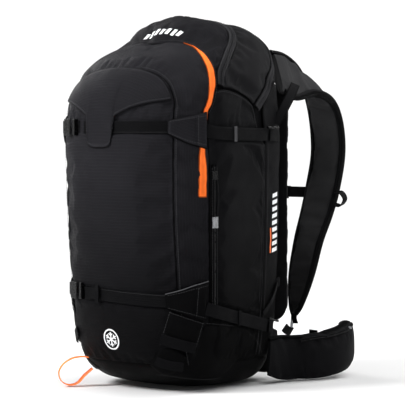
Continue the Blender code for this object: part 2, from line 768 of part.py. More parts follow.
def lower_wing(name, sign):
    edges = [(front(0.1010, 0.1612), front(0.1010, 0.1380)), (front(0.1180, 0.1680), front(0.1130, 0.1310)),
             (front(0.1290, 0.1740), front(0.1224, 0.1257)), (side(-0.0680, 0.1807), side(-0.0700, 0.1153))]
    line = [side(-0.0630, 0.1340), side(-0.040, 0.1280), side(0.0, 0.1180), side(0.037, 0.1090),
            side(0.0700, 0.1010)]
    return wing_strap(name, sign, edges, line)


def ladder_adjuster(name, centre, along, mirror):
    """Plate with a bar across each of its two slots."""
    centre = Vector(centre)
    along = Vector(along)
    outward = Vector(skin(np.array(centre), 0.02)) - Vector(skin(np.array(centre), 0.0))
    if mirror:
        centre.x, along.x, outward.x = -centre.x, -along.x, -outward.x
    frame = frame_at(centre, along, outward)
    made = block(name, frame, (0.0310, 0.0270, 0.0045), buckle_plastic(), 0.0010)
    for number, shift in enumerate((-0.0075, 0.0075)):
        cutter(made, f"{name}_slot_{number}", frame, (0.0065, 0.0205, 0.0100), (shift, 0, 0))
    return made


def adjusters():
    places = {"upper": (0.0740, 0.4122, 0.4128, 0.0030), "lower": (0.0880, 0.0965, 0.1010, 0.0045)}
    for level, (y, z, near_z, out) in places.items():
        centre = skin(np.array(side(y, z)), out + 0.0022)
        near = skin(np.array(side(y - 0.02, near_z)), out + 0.0022)
        for hand in ("right", "left"):
            ladder_adjuster(f"{level}_{hand}_adjuster", centre, Vector(centre - near), hand == "left")


def buckle(level, height):
    """Side-release buckle on the left of the front webbing: a hollow socket and a plug with two prongs."""
    centre = Vector(skin(np.array(front(-0.0800, height)), 0.0090))
    ahead = Vector(skin(np.array(front(-0.0740, height)), 0.0090))
    out = Vector(skin(np.array(centre), 0.02)) - Vector(skin(np.array(centre), 0.0))
    frame = frame_at(centre, ahead - centre, out)
    socket = block(f"{level}_buckle_socket", frame, (0.0260, 0.0280, 0.0090), buckle_plastic(), 0.0018,
                   offset=(-0.0120, 0, 0))
    cutter(socket, f"{level}_socket_mouth", frame, (0.0220, 0.0210, 0.0052), offset=(-0.0080, 0, 0))
    prongs = block(f"{level}_buckle_plug", frame, (0.0400, 0.0180, 0.0036), buckle_plastic(), 0.0008,
                   offset=(0.0030, 0, 0))
    added(prongs, f"{level}_plug_bar_shape", frame, (0.0200, 0.0265, 0.0080), 0.0016, (0.0130, 0, 0))
    move_origin(prongs, centre)


# ---------------------------------------------------------------- back and harness

def back_pad():
    """Padded back panel with rounded corners, against the back shell."""
    half, low, high, radius = 0.140, 0.100, 0.494, 0.030
    outline = []
    for cx, cz, start in ((half - radius, high - radius, 0), (-half + radius, high - radius, 90),
                          (-half + radius, low + radius, 180), (half - radius, low + radius, 270)):
        for step in range(5):
            turn = math.radians(start + step * 22.5)
            outline.append((cx + radius * math.cos(turn), cz + radius * math.sin(turn)))
    rings = []
    for y, shrink in ((BACK_FACE + 0.0016, 0.0), (PAD_FACE - 0.006, 0.0), (PAD_FACE, 0.007)):
        ring = []
        for x, z in outline:
            middle = (low + high) / 2
            ring.append((x * (1 - shrink / half), y, middle + (z - middle) * (1 - shrink / 0.19)))
        rings.append(ring)
    return tube_grid("back_pad", rings, foam())


def lumbar_pad():
    half, low, high = 0.106, 0.012, 0.094
    rings = []
    for y, shrink in ((BACK_FACE + 0.0016, 0.0), (LUMBAR_FACE - 0.008, 0.0), (LUMBAR_FACE, 0.010)):
        corners = ((half, low), (half, high), (-half, high), (-half, low))
        middle = (low + high) / 2
        ring = []
        for x, z in corners:
            dx = math.copysign(half - shrink, x)
            dz = math.copysign((high - low) / 2 - shrink, z - middle)
            ring.append((dx, y, middle + dz))
        rings.append(ring)
    return tube_grid("lumbar_pad", rings, foam())


def frame_sheet():
    frame = frame_at((0, 0.1160, 0.270), (1, 0, 0), (0, 1, 0))
    return block("frame_sheet", frame, (0.225, 0.420, 0.0015), material("frame_sheet", (0.4, 0.4, 0.42), 0.5),
                 0.0005)


def frame_hoop():
    """Aluminium hoop between the frame sheet and the back shell."""
    half, foot, head, radius, y = 0.095, 0.065, 0.478, 0.045, 0.1240
    points = [(half, y, foot), (half, y, 0.20), (half, y, head - radius)]
    for step in range(1, 6):
        turn = math.radians(step * 18)
        points.append((half - radius + radius * math.cos(turn), y, head - radius + radius * math.sin(turn)))
    points.append((0.0, y, head))
    path = over_the_middle(points)
    return sweep("frame_hoop", path, (0, 1, 0), 0.003, 0.003, material("frame_alloy", SILVER, 0.35, 1.0),
                 sides=8, power=2)


def shoulder_pad(name, sign):
    rows = smooth_path([((a + b) / 2, y, z, (b - a) / 2) for y, z, a, b in SHOULDER_STRAP], even(22))
    centres = rows[:, :3] * np.array((sign, 1, 1))
    depth = np.full(len(rows), STRAP_THICKNESS / 2)
    depth[-3:] = (0.0062, 0.0052, 0.0040)
    return sweep(name, centres, (1, 0, 0), rows[:, 3], depth, foam(), sides=10, power=3.2)


def strap_hook(name, sign):
    """Flat aluminium ring that joins the tip of the shoulder strap to the webbing at its foot."""
    centre = Vector((0.098 * sign, 0.2115, 0.0895))
    frame = frame_at(centre, (0, -0.12, -1), (0, 1, -0.12))
    made = block(name, frame, (0.0240, 0.0170, 0.0026), silver(), 0.0008)
    cutter(made, f"{name}_window", frame, (0.0150, 0.0105, 0.0080))
    return made


def strap_anchor(name, sign):
    """Webbing from the pack's lower corner to the hook."""
    points = [(0.1150 * sign, 0.1640, 0.0880), (0.1080 * sign, 0.1840, 0.0800),
              (0.1000 * sign, 0.2040, 0.0770)]
    path = smooth_path(points, even(6))
    return sweep(name, path, (0.5 * sign, 0.2, 1.0), 0.0075, 0.0008, webbing(), sides=8, power=6)


def load_lifter(name, sign):
    """Webbing from the pack's rear corner up to the shoulder strap."""
    points = [(0.1585 * sign, 0.0980, 0.4330), (0.1520 * sign, 0.1380, 0.4720),
              (0.1340 * sign, 0.1800, 0.5100), (0.1270 * sign, 0.2020, 0.5300)]
    path = smooth_path(points, even(8))
    return sweep(name, path, (0.2 * sign, 0.7, -0.7), 0.0100, 0.0008, webbing(), sides=8, power=6)


def sternum_place(x):
    y = float(np.interp(STERNUM_HEIGHT, [0.273, 0.317], [0.2905, 0.3110]))
    return Vector((x, y, STERNUM_HEIGHT))


def sternum_strap():
    frame = frame_at(sternum_place(0.0), (1, 0, 0), (0, 1, -0.32))
    block("sternum_webbing_right", frame, (0.0335, 0.0190, 0.0018), webbing(), offset=(0.0323, 0, 0))
    block("sternum_webbing_left", frame, (0.0390, 0.0190, 0.0018), webbing(), offset=(-0.0295, 0, -0.0045))
    socket = block("sternum_buckle_socket", frame, (0.0150, 0.0240, 0.0080), buckle_plastic(), 0.0015,
                   offset=(0.0075, 0, 0))
    cutter(socket, "sternum_socket_mouth", frame, (0.0140, 0.0170, 0.0046), offset=(0.0050, 0, 0))
    plug = block("sternum_buckle_plug", frame, (0.0200, 0.0140, 0.0032), buckle_plastic(), 0.0006,
                 offset=(-0.0003, 0, 0))
    added(plug, "sternum_plug_bar_shape", frame, (0.0150, 0.0225, 0.0066), 0.0012, (-0.0090, 0, 0))
    move_origin(plug, sternum_place(0.0))


def hip_fin(name, sign):
    rows = smooth_path([(x, y, FIN_FOOT + h, h, t) for x, y, h, t in HIP_FIN], even(14))
    centres = rows[:, :3] * np.array((sign, 1, 1))
    made = sweep(name, centres, (0, 0, 1), rows[:, 3], rows[:, 4], fabric(), sides=12, power=2.8)
    return move_origin(made, (FIN_HINGE[0] * sign, FIN_HINGE[1], 0.0))


def hip_belt_end(name, part, sign):
    """Webbing from the tip of a hip fin, with its half of the buckle."""
    (x0, y0), (x1, y1) = HIP_WEBBING_ENDS
    start = Vector((x0 * sign, y0, HIP_BELT_HEIGHT))
    end = Vector((x1 * sign, y1, HIP_BELT_HEIGHT))
    path = smooth_path([tuple(start), tuple((start + end) / 2), tuple(end)], even(5))
    sweep(name, path, (0, 0, 1), 0.0180, 0.0010, webbing(), sides=8, power=8)
    frame = frame_at(end, end - start, (0, 1, 0))
    if part == "hip_buckle_socket":
        half = block(part, frame, (0.0320, 0.0440, 0.0110), buckle_plastic(), 0.0022, offset=(0.0165, 0, 0))
        cutter(half, "hip_socket_mouth", frame, (0.0260, 0.0340, 0.0062), offset=(0.0230, 0, 0))
    else:
        half = block(part, frame, (0.0340, 0.0320, 0.0044), buckle_plastic(), 0.0010, offset=(0.0180, 0, 0))
        added(half, "hip_plug_bar_shape", frame, (0.0120, 0.0420, 0.0090), 0.0018, (0.0065, 0, 0))


# ---------------------------------------------------------------- airbag system

def folded_airbag():
    """Airbag packed flat under its cover."""
    grid = airbag_cover_grid(0.008)[:, ::2]
    return shell("folded_airbag", grid, material("airbag_cloth", (0.85, 0.18, 0.04), 0.6), -0.0045, 0.018)


def inflation_unit():
    middle = (UNIT_LOW + UNIT_HIGH) / 2
    frame = frame_at((UNIT_X, UNIT_Y, middle), (1, 0, 0), (0, 0, 1))
    return block("inflation_unit", frame, (0.066, 0.050, UNIT_HIGH - UNIT_LOW),
                 material("unit_body", (0.06, 0.06, 0.065), 0.4), 0.004)


def gas_cartridge():
    """Cylinder with a domed foot and a neck that screws into the inflation unit."""
    head = UNIT_LOW - GAP
    r = CARTRIDGE_RADIUS
    profile = ((0.0100, head), (0.0100, head - 0.008), (0.0160, head - 0.012), (r - 0.003, head - 0.020),
               (r, head - 0.030), (r, CARTRIDGE_FOOT + 0.018), (r - 0.004, CARTRIDGE_FOOT + 0.006),
               (r - 0.012, CARTRIDGE_FOOT))
    turns = np.linspace(0, 2 * math.pi, 20, endpoint=False)
    rings = []
    for radius, z in profile:
        rings.append([(UNIT_X + radius * math.cos(t), UNIT_Y + radius * math.sin(t), z) for t in turns])
    made = tube_grid("gas_cartridge", rings, material("cartridge_paint", (0.75, 0.76, 0.78), 0.35, 0.8))
    return move_origin(made, (UNIT_X, UNIT_Y, head))


def valve_lever():
    frame = frame_at(LEVER_PIVOT, (-1, 0, 0.15), (0, 0, 1))
    made = block("valve_lever", frame, (0.0200, 0.0080, 0.0040), silver(), 0.0010, offset=(0.0050, 0, 0))
    return move_origin(made, LEVER_PIVOT)


def trigger_cable():
    return cord("trigger_cable", CABLE_ROUTE, CABLE_DIAMETER, 2)


def trigger_handle():
    """Grip on the left shoulder strap: a stem under the cable with a crossbar at its foot."""
    frame = frame_at(TRIGGER_PLACE, TRIGGER_PULL, (0, 1, 0))
    made = block("trigger_handle", frame, (0.0900, 0.0200, 0.0100), orange(), 0.0030)
    added(made, "trigger_bar_shape", frame, (0.0180, 0.0460, 0.0140), 0.0040, (0.0360, 0, 0.001))
    return move_origin(made, TRIGGER_PLACE)


# ---------------------------------------------------------------- assembly

def build():
    clear_scene()
    front_panel()
    crown_panel()
    lid_panel()
    zip_band("lid_zip_tape", lid_zip_line())
    shell("airbag_cover", airbag_cover_grid(), fabric())
    zip_band("airbag_zip_tape", airbag_zip_line())
    rear_yoke_panel()
    side_panel("right_side_panel", 1)
    side_panel("left_side_panel", -1)
    back_shell()
    base_panel()
    pocket_flap()
    orange_trim()
    side_zip_tape()
    side_zip_slider()
    side_zip_cord()
    side_zip_tag()
    ice_axe_loop()
    front_webbing("upper_front_webbing", UPPER_STRAP, UPPER_STRAP, 0.1090)
    front_webbing("lower_front_webbing", LOWER_STRAP + 0.008, LOWER_STRAP - 0.002, 0.1000)
    buckle("upper", UPPER_STRAP)
    buckle("lower", LOWER_STRAP + 0.008)
    for hand, sign in (("right", 1), ("left", -1)):
        upper_wing(f"upper_{hand}_wing_strap", sign)
        lower_wing(f"lower_{hand}_wing_strap", sign)
        shoulder_pad(f"{hand}_shoulder_pad", sign)
        strap_hook(f"{hand}_strap_hook", sign)
        strap_anchor(f"{hand}_strap_anchor", sign)
        load_lifter(f"{hand}_load_lifter", sign)
        hip_fin(f"{hand}_hip_fin", sign)
    adjusters()
    back_pad()
    lumbar_pad()
    frame_sheet()
    frame_hoop()
    sternum_strap()
    hip_belt_end("right_hip_webbing", "hip_buckle_socket", 1)
    hip_belt_end("left_hip_webbing", "hip_buckle_plug", -1)
    folded_airbag()
    inflation_unit()
    gas_cartridge()
    valve_lever()
    trigger_cable()
    trigger_handle()


build()
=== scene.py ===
"""Looks of an avalanche airbag backpack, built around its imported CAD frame.

Every fabric piece is a fine grid on the same smooth form as the CAD panels. Lengths are in metres, the outer
face looks along -Y and the wearer's right is +X.
"""
import math

import bmesh
import bpy
import numpy as np
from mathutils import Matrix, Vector
from mathutils.bvhtree import BVHTree

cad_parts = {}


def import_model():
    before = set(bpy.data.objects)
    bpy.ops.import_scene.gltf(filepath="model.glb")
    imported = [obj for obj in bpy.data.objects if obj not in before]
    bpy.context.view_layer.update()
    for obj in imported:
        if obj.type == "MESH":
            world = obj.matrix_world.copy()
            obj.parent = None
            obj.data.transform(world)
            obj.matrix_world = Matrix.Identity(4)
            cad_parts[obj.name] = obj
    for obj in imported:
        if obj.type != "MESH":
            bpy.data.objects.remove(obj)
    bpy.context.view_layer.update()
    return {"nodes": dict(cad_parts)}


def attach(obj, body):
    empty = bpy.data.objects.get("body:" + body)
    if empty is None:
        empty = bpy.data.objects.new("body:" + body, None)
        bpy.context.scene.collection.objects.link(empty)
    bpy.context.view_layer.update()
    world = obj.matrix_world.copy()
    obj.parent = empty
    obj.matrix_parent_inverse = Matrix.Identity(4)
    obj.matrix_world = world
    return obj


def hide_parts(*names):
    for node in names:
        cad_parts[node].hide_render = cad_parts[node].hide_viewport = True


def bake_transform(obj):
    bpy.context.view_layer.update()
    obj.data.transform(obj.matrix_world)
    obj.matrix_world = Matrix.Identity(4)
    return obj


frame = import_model()

# ---------------------------------------------------------------- form, as in the CAD source

SECTIONS = (
    (0.000, 0.070, 0.030, 0.040, 0.085, 2.30, 3.0),
    (0.006, 0.098, 0.010, 0.064, 0.118, 2.30, 3.6),
    (0.018, 0.118, -0.005, 0.084, 0.138, 2.30, 4.2),
    (0.040, 0.131, -0.014, 0.103, 0.150, 2.30, 5.0),
    (0.075, 0.139, -0.019, 0.115, 0.156, 2.25, 5.6),
    (0.140, 0.146, -0.020, 0.127, 0.157, 2.20, 6.0),
    (0.250, 0.151, -0.020, 0.139, 0.158, 2.20, 6.0),
    (0.350, 0.153, -0.020, 0.144, 0.158, 2.20, 6.0),
    (0.420, 0.153, -0.020, 0.145, 0.158, 2.20, 6.0),
    (0.464, 0.151, -0.014, 0.143, 0.152, 2.20, 5.6),
    (0.502, 0.146, -0.002, 0.131, 0.140, 2.15, 5.2),
    (0.533, 0.137, 0.019, 0.112, 0.119, 2.10, 4.8),
    (0.560, 0.119, 0.044, 0.080, 0.096, 2.05, 4.2),
    (0.586, 0.086, 0.045, 0.054, 0.074, 2.05, 3.4),
    (0.605, 0.018, 0.040, 0.012, 0.016, 2.05, 2.4),
)
TOP = SECTIONS[-1][0]
CORE_Y, CORE_LOW, CORE_HIGH = 0.03, 0.10, 0.45
BASE_SEAM = 0.045
FRONT_SEAM_X = 0.1135
STITCH_Y = 0.065
YOKE_EDGE = 0.497
ZIP_HALF = 0.0068
BELT = 0.0205
UPPER_STRAP = 0.4245
LOWER_LEFT, LOWER_RIGHT = 0.160, 0.150
BUCKLE_X = -0.0610


def section_table(per_span=40):
    rows = np.array(SECTIONS)
    slope = np.gradient(rows, axis=0)
    t = np.linspace(0.0, 1.0, per_span, endpoint=False)[:, None]
    spans = []
    for i in range(len(rows) - 1):
        spans.append((2 * t**3 - 3 * t**2 + 1) * rows[i] + (t**3 - 2 * t**2 + t) * slope[i]
                     + (3 * t**2 - 2 * t**3) * rows[i + 1] + (t**3 - t**2) * slope[i + 1])
    table = np.vstack(spans + [rows[-1:]])
    table[:, 0] = np.maximum.accumulate(table[:, 0])
    return table


TABLE = section_table()


def section(height):
    return [np.interp(height, TABLE[:, 0], TABLE[:, k]) for k in range(1, 7)]


def fullness(points):
    half, middle, front_reach, rear_reach, front_power, rear_power = section(points[..., 2])
    along = points[..., 1] - middle
    power = np.where(along < 0, front_power, rear_power)
    reach = np.where(along < 0, front_reach, rear_reach)
    value = (np.abs(points[..., 0]) / half) ** power + (np.abs(along) / reach) ** power
    return np.where((points[..., 2] < 0.0) | (points[..., 2] > TOP), 9.0, value)


def skin(points, out=0.0):
    """Points moved along the line from the form's core onto the form, then out by a distance."""
    points = np.asarray(points, float)
    core = np.zeros_like(points)
    core[..., 1] = CORE_Y
    core[..., 2] = np.clip(points[..., 2], CORE_LOW, CORE_HIGH)
    ray = points - core
    ray /= np.linalg.norm(ray, axis=-1, keepdims=True)
    low = np.zeros(points.shape[:-1])
    high = np.full(points.shape[:-1], 0.4)
    for _ in range(26):
        middle = (low + high) / 2
        inside = fullness(core + ray * middle[..., None]) < 1
        low = np.where(inside, middle, low)
        high = np.where(inside, high, middle)
    return core + ray * (low + out)[..., None]


def front(x, z):
    half, middle, reach, _, power, _ = section(z)
    return (x, middle - reach * (1 - min(abs(x) / half, 1.0) ** power) ** (1 / power), z)


def side(y, z):
    half, middle, front_reach, rear_reach, front_power, rear_power = section(z)
    power, reach = (front_power, front_reach) if y < middle else (rear_power, rear_reach)
    return (half * (1 - min(abs(y - middle) / reach, 1.0) ** power) ** (1 / power), y, z)


def crown(x, y):
    return tuple(skin((x, y, TOP - 3.5 * (x * x + (y - 0.04) ** 2))))


def unit(v):
    v = np.asarray(v, float)
    return v / np.maximum(np.linalg.norm(v, axis=-1, keepdims=True), 1e-12)


def smooth_path(points, fractions):
    points = np.array(points, float)
    ends = np.vstack([2 * points[0] - points[1], points, 2 * points[-1] - points[-2]])
    t = np.linspace(0.0, 1.0, 16, endpoint=False)[:, None]
    spans = []
    for a, b, c, d in zip(ends, ends[1:], ends[2:], ends[3:]):
        spans.append(0.5 * (2 * b + (c - a) * t + (2 * a - 5 * b + 4 * c - d) * t**2
                            + (3 * b - a - 3 * c + d) * t**3))
    curve = np.vstack(spans + [points[-1:]])
    reach = np.concatenate([[0.0], np.cumsum(np.linalg.norm(np.diff(curve[:, :3], axis=0), axis=1))])
    wanted = np.asarray(fractions) * reach[-1]
    return np.stack([np.interp(wanted, reach, curve[:, k]) for k in range(curve.shape[1])], -1)


def even(count):
    return np.linspace(0.0, 1.0, count)


def line(points, pitch=0.003):
    """A smooth line through the points, sampled about every pitch."""
    rough = smooth_path(points, even(200))
    length = np.linalg.norm(np.diff(rough[:, :3], axis=0), axis=1).sum()
    return smooth_path(points, even(max(4, int(length / pitch) + 1)))


def coons(bottom, top, left, right, columns, rows, gap=0.0002):
    across, up = even(columns)[None, :], even(rows)[:, None]
    height = np.linalg.norm(smooth_path(top, across) - smooth_path(bottom, across), axis=-1)
    width = np.linalg.norm(smooth_path(right, up) - smooth_path(left, up), axis=-1)
    draw_v = np.minimum(gap / np.maximum(height, gap), 0.3)
    draw_u = np.minimum(gap / np.maximum(width, gap), 0.3)
    u, v = draw_u + (1 - 2 * draw_u) * across, draw_v + (1 - 2 * draw_v) * up
    c = [np.array(edge[end], float) for edge in (bottom, top) for end in (0, -1)]
    u3, v3 = u[..., None], v[..., None]
    ruled_up = (1 - v3) * smooth_path(bottom, u) + v3 * smooth_path(top, u)
    ruled_across = (1 - u3) * smooth_path(left, v) + u3 * smooth_path(right, v)
    flat = (1 - u3) * (1 - v3) * c[0] + u3 * (1 - v3) * c[1] + (1 - u3) * v3 * c[2] + u3 * v3 * c[3]
    return ruled_up + ruled_across - flat


def mirror_x(points):
    return [(-p[0], *p[1:]) for p in points]


def over_the_middle(points):
    return list(points) + mirror_x(list(points)[-2::-1])


def beside(points, distance):
    """The same line on the form, moved to one side of its direction."""
    points = skin(points)
    step = unit(np.cross(np.gradient(points, axis=0), skin(points, 0.01) - points))
    step[0] = step[1]
    step[-1] = (0.0, -1.0 if step[-1][1] < 0 else 1.0, 0.0)
    return [tuple(p) for p in skin(points + step * distance)]


def offset_line(points, distance):
    """Like beside, for a line that doesn't end on the middle."""
    points = skin(points)
    step = unit(np.cross(np.gradient(points, axis=0), skin(points, 0.01) - points))
    return skin(points + step * distance)


# ---------------------------------------------------------------- seams, as in the CAD source

def front_seam():
    heights = (BASE_SEAM, 0.11, 0.17, 0.30, 0.43)
    widths = (-0.0050, -0.0015, 0.0, 0.0012, 0.0020)
    return [front(FRONT_SEAM_X + w, z) for z, w in zip(heights, widths)]


def arch():
    points = ((0.1135, 0.459), (0.1070, 0.4766), (0.0980, 0.491), (0.0870, 0.5005), (0.0717, 0.5087),
              (0.0555, 0.5137), (0.0350, 0.5175), (0.0, 0.5195))
    return [front(x, z) for x, z in points]


def side_zip_line():
    return [side(-0.054, BASE_SEAM), side(-0.0615, 0.134), side(-0.0684, 0.28), side(-0.0700, 0.365),
            side(-0.0735, 0.405), side(-0.0740, 0.4476)]


def lid_seam():
    return [side(-0.0740, 0.4476), side(-0.0650, 0.4611), side(-0.0550, 0.4833), (0.1360, -0.0485, 0.5057),
            (0.1280, -0.0450, 0.5202), (0.1175, -0.0420, 0.5324), (0.1040, -0.0390, 0.5416),
            (0.0790, -0.0300, 0.5536), (0.0556, -0.0280, 0.5599), (0.0286, -0.0306, 0.5615),
            (0.0, -0.0345, 0.5610)]


def lid_zip_line():
    return [side(-0.0405, 0.4900), (0.1397, -0.0342, 0.5091), (0.1341, -0.0168, 0.5287),
            (0.1244, 0.0057, 0.5471), (0.1123, 0.0288, 0.5643), crown(0.0881, 0.0460),
            crown(0.0500, 0.0640), crown(0.0, 0.0740)]


def airbag_zip_line():
    return [side(0.0421, 0.4554), side(0.0739, 0.4850), side(0.0850, 0.5010), (0.1357, 0.1029, 0.5184),
            (0.1290, 0.1150, 0.5340), (0.1150, 0.1180, 0.5490), crown(0.0880, 0.1120),
            crown(0.0500, 0.1180), crown(0.0, 0.1230)]


def side_top():
    return [side(-0.0550, 0.4820), side(-0.0416, 0.4850), side(-0.0245, 0.4836), side(0.0, 0.4776),
            side(0.0245, 0.4666), side(0.0341, 0.4570), side(0.0433, 0.4279), side(0.0520, 0.4120),
            side(0.0585, 0.4010), side(STITCH_Y, 0.3970)]


def side_front_edge():
    return side_zip_line()[:5] + [side(-0.0700, 0.4476), side(-0.0620, 0.4611), side(-0.0550, 0.4820)]


def yoke_edge():
    points = [side(0.098, YOKE_EDGE), side(0.118, YOKE_EDGE)]
    return points + [tuple(skin((x, 0.138, YOKE_EDGE))) for x in (0.132, 0.110, 0.070, 0.035, 0.0)]


# ---------------------------------------------------------------- materials

class Tree:
    """A material's nodes, made one after another."""

    def __init__(self, name, colour, roughness, metallic=0.0, sheen=0.0, coat=0.0, specular=0.3):
        self.material = bpy.data.materials.new(name)
        self.material.use_nodes = True
        self.nodes = self.material.node_tree.nodes
        self.links = self.material.node_tree.links
        self.shader = self.nodes["Principled BSDF"]
        self.base = (*colour, 1.0)
        self.shader.inputs["Base Color"].default_value = self.base
        self.shader.inputs["Roughness"].default_value = roughness
        self.shader.inputs["Metallic"].default_value = metallic
        self.shader.inputs["Specular IOR Level"].default_value = specular
        self.shader.inputs["Sheen Weight"].default_value = sheen
        self.shader.inputs["Sheen Roughness"].default_value = 0.45
        self.shader.inputs["Coat Weight"].default_value = coat

    def feed(self, socket, value):
        if hasattr(value, "is_output"):
            self.links.new(value, socket)
        else:
            socket.default_value = value

    def math(self, operation, a, b=0.0, clamp=False):
        node = self.nodes.new("ShaderNodeMath")
        node.operation = operation
        node.use_clamp = clamp
        self.feed(node.inputs[0], a)
        self.feed(node.inputs[1], b)
        return node.outputs[0]

    def cloth(self):
        """Metres across and along the cloth, from the mesh."""
        node = self.nodes.new("ShaderNodeAttribute")
        node.attribute_name = "weave"
        parts = self.nodes.new("ShaderNodeSeparateXYZ")
        self.links.new(node.outputs["Vector"], parts.inputs[0])
        return parts.outputs

    def place(self):
        return self.nodes.new("ShaderNodeTexCoord").outputs["Object"]

    def height(self):
        parts = self.nodes.new("ShaderNodeSeparateXYZ")
        self.links.new(self.place(), parts.inputs[0])
        return parts.outputs[2]

    def noise(self, scale, detail=3.0, vector=None, rough=0.55):
        node = self.nodes.new("ShaderNodeTexNoise")
        node.inputs["Scale"].default_value = scale
        node.inputs["Detail"].default_value = detail
        node.inputs["Roughness"].default_value = rough
        self.links.new(vector or self.place(), node.inputs["Vector"])
        return node.outputs["Fac"]

    def wave(self, value, pitch):
        return self.math("SINE", self.math("MULTIPLY", value, 2 * math.pi / pitch))

    def ramp(self, value, low, high, start=0.0, end=1.0):
        node = self.nodes.new("ShaderNodeMapRange")
        node.interpolation_type = "SMOOTHSTEP"
        self.feed(node.inputs["Value"], value)
        for label, number in (("From Min", low), ("From Max", high), ("To Min", start), ("To Max", end)):
            node.inputs[label].default_value = number
        return node.outputs["Result"]

    def tint(self, factor, colour):
        """Mixes another colour over what there is, by a factor."""
        node = self.nodes.new("ShaderNodeMix")
        node.data_type = "RGBA"
        self.feed(node.inputs["Factor"], factor)
        self.feed(node.inputs["A"], self.base)
        self.feed(node.inputs["B"], (*colour, 1.0))
        for socket in node.inputs:
            if socket.type == "RGBA" and socket.name == "A":
                self.feed(socket, self.base)
            if socket.type == "RGBA" and socket.name == "B":
                self.feed(socket, (*colour, 1.0))
        self.base = [s for s in node.outputs if s.type == "RGBA"][0]
        self.links.new(self.base, self.shader.inputs["Base Color"])
        return self

    def rough(self, value):
        self.links.new(value, self.shader.inputs["Roughness"])
        return self

    def bump(self, height, distance, strength=1.0):
        node = self.nodes.new("ShaderNodeBump")
        node.inputs["Distance"].default_value = distance
        node.inputs["Strength"].default_value = strength
        self.links.new(height, node.inputs["Height"])
        last = self.shader.inputs["Normal"]
        if last.is_linked:
            self.links.new(last.links[0].from_socket, node.inputs["Normal"])
        self.links.new(node.outputs["Normal"], last)
        return self


def scaled(colour, factor):
    return tuple(c * factor for c in colour)


def woven(name, colour, roughness, pitch, rib=None, sheen=0.0, depth=0.00022, lines=0.5, diamond=False,
          specular=0.025, shade=0.92, reach=0.34):
    """Cloth: a weave at the pitch, thicker threads at every rib, soft variation, rubbed patches, and painted shade: a
    dark line in the sunk seams and a darkening toward the bottom, as if lit from above.
    """
    t = Tree(name, colour, roughness, sheen=sheen, specular=specular)
    u, v, seam = t.cloth()
    if diamond:
        u, v = t.math("ADD", u, v), t.math("SUBTRACT", u, v)
    threads = t.math("MULTIPLY", t.wave(u, pitch), t.wave(v, pitch))
    t.bump(threads, depth, 0.7)
    if rib:
        along = t.ramp(t.math("PINGPONG", v, rib / 2), 0.0, rib * 0.16, 1.0, 0.0)
        crossing = t.ramp(t.math("PINGPONG", u, rib / 2), 0.0, rib * 0.12, lines, 0.0)
        grid = t.math("MAXIMUM", along, crossing)
        t.bump(grid, depth * 1.6, 0.9)
        t.tint(t.math("MULTIPLY", grid, 0.55), scaled(colour, 1.75))
    wear = t.ramp(t.noise(34.0, 5.0), 0.5, 0.78)
    t.tint(t.math("MULTIPLY", wear, 0.35), scaled(colour, 1.5))
    rubbed = t.ramp(seam, 0.0030, 0.009, 0.6, 0.0)
    t.tint(t.math("MULTIPLY", rubbed, t.noise(120.0, 4.0)), scaled(colour, 1.9))
    # painted shade: a dark line along the cloth's edge, in the sunk seam groove
    t.tint(t.ramp(seam, 0.0012, 0.0024, 0.92, 0.0), scaled(colour, 0.12))
    t.tint(t.ramp(t.noise(7.0, 2.0), 0.35, 0.7, 0.0, 0.35), scaled(colour, 0.7))
    # painted shade: the cloth darkens toward the bottom of the pack, as if lit from above; shade is how dark it gets at
    # the foot, reach the height where the painted shade fades out
    t.tint(t.ramp(t.height(), 0.07, reach, shade, 0.0), scaled(colour, 0.16))
    t.rough(t.ramp(t.noise(26.0, 4.0), 0.25, 0.75, roughness - 0.08, roughness + 0.10))
    t.bump(t.noise(90.0, 4.0), 0.0006, 0.35)
    return t.material


def webbing_look(name, colour, roughness=0.55):
    """Woven tape: a herringbone across it and thicker threads along its edges."""
    t = Tree(name, colour, roughness, sheen=0.0, specular=0.03)
    u, v, edge = t.cloth()
    zigzag = t.math("ADD", v, t.math("PINGPONG", u, 0.0017))
    t.bump(t.wave(zigzag, 0.0017), 0.00012, 0.8)
    t.bump(t.wave(u, 0.0034), 0.00008, 0.6)
    t.tint(t.ramp(t.wave(zigzag, 0.0017), -0.2, 1.0, 0.0, 0.5), scaled(colour, 1.6))
    t.tint(t.ramp(edge, 0.0004, 0.0022, 0.6, 0.0), scaled(colour, 1.8))
    t.tint(t.ramp(t.noise(40.0, 5.0), 0.5, 0.8, 0.0, 0.4), scaled(colour, 2.2))
    t.rough(t.ramp(t.noise(60.0, 3.0), 0.3, 0.7, roughness - 0.07, roughness + 0.1))
    return t.material


def moulded(name, colour, roughness, grain=420.0):
    t = Tree(name, colour, roughness, coat=0.03, specular=0.40)
    t.bump(t.noise(grain, 3.0), 0.00012, 0.5)
    t.bump(t.noise(60.0, 2.0), 0.0004, 0.15)
    t.tint(t.ramp(t.noise(150.0, 6.0), 0.56, 0.74, 0.0, 0.5), scaled(colour, 2.6))
    t.rough(t.ramp(t.noise(90.0, 4.0), 0.3, 0.7, roughness - 0.1, roughness + 0.12))
    return t.material


def metal(name, colour, roughness):
    t = Tree(name, colour, roughness, metallic=1.0)
    mapping = t.nodes.new("ShaderNodeMapping")
    mapping.inputs["Scale"].default_value = (900.0, 900.0, 60.0)
    t.links.new(t.place(), mapping.inputs["Vector"])
    brushed = t.noise(1.0, 4.0, mapping.outputs["Vector"])
    t.bump(brushed, 0.00006, 0.5)
    t.rough(t.ramp(brushed, 0.3, 0.7, roughness - 0.08, roughness + 0.14))
    t.tint(t.ramp(t.noise(130.0, 5.0), 0.5, 0.72, 0.0, 0.4), scaled(colour, 0.6))
    return t.material


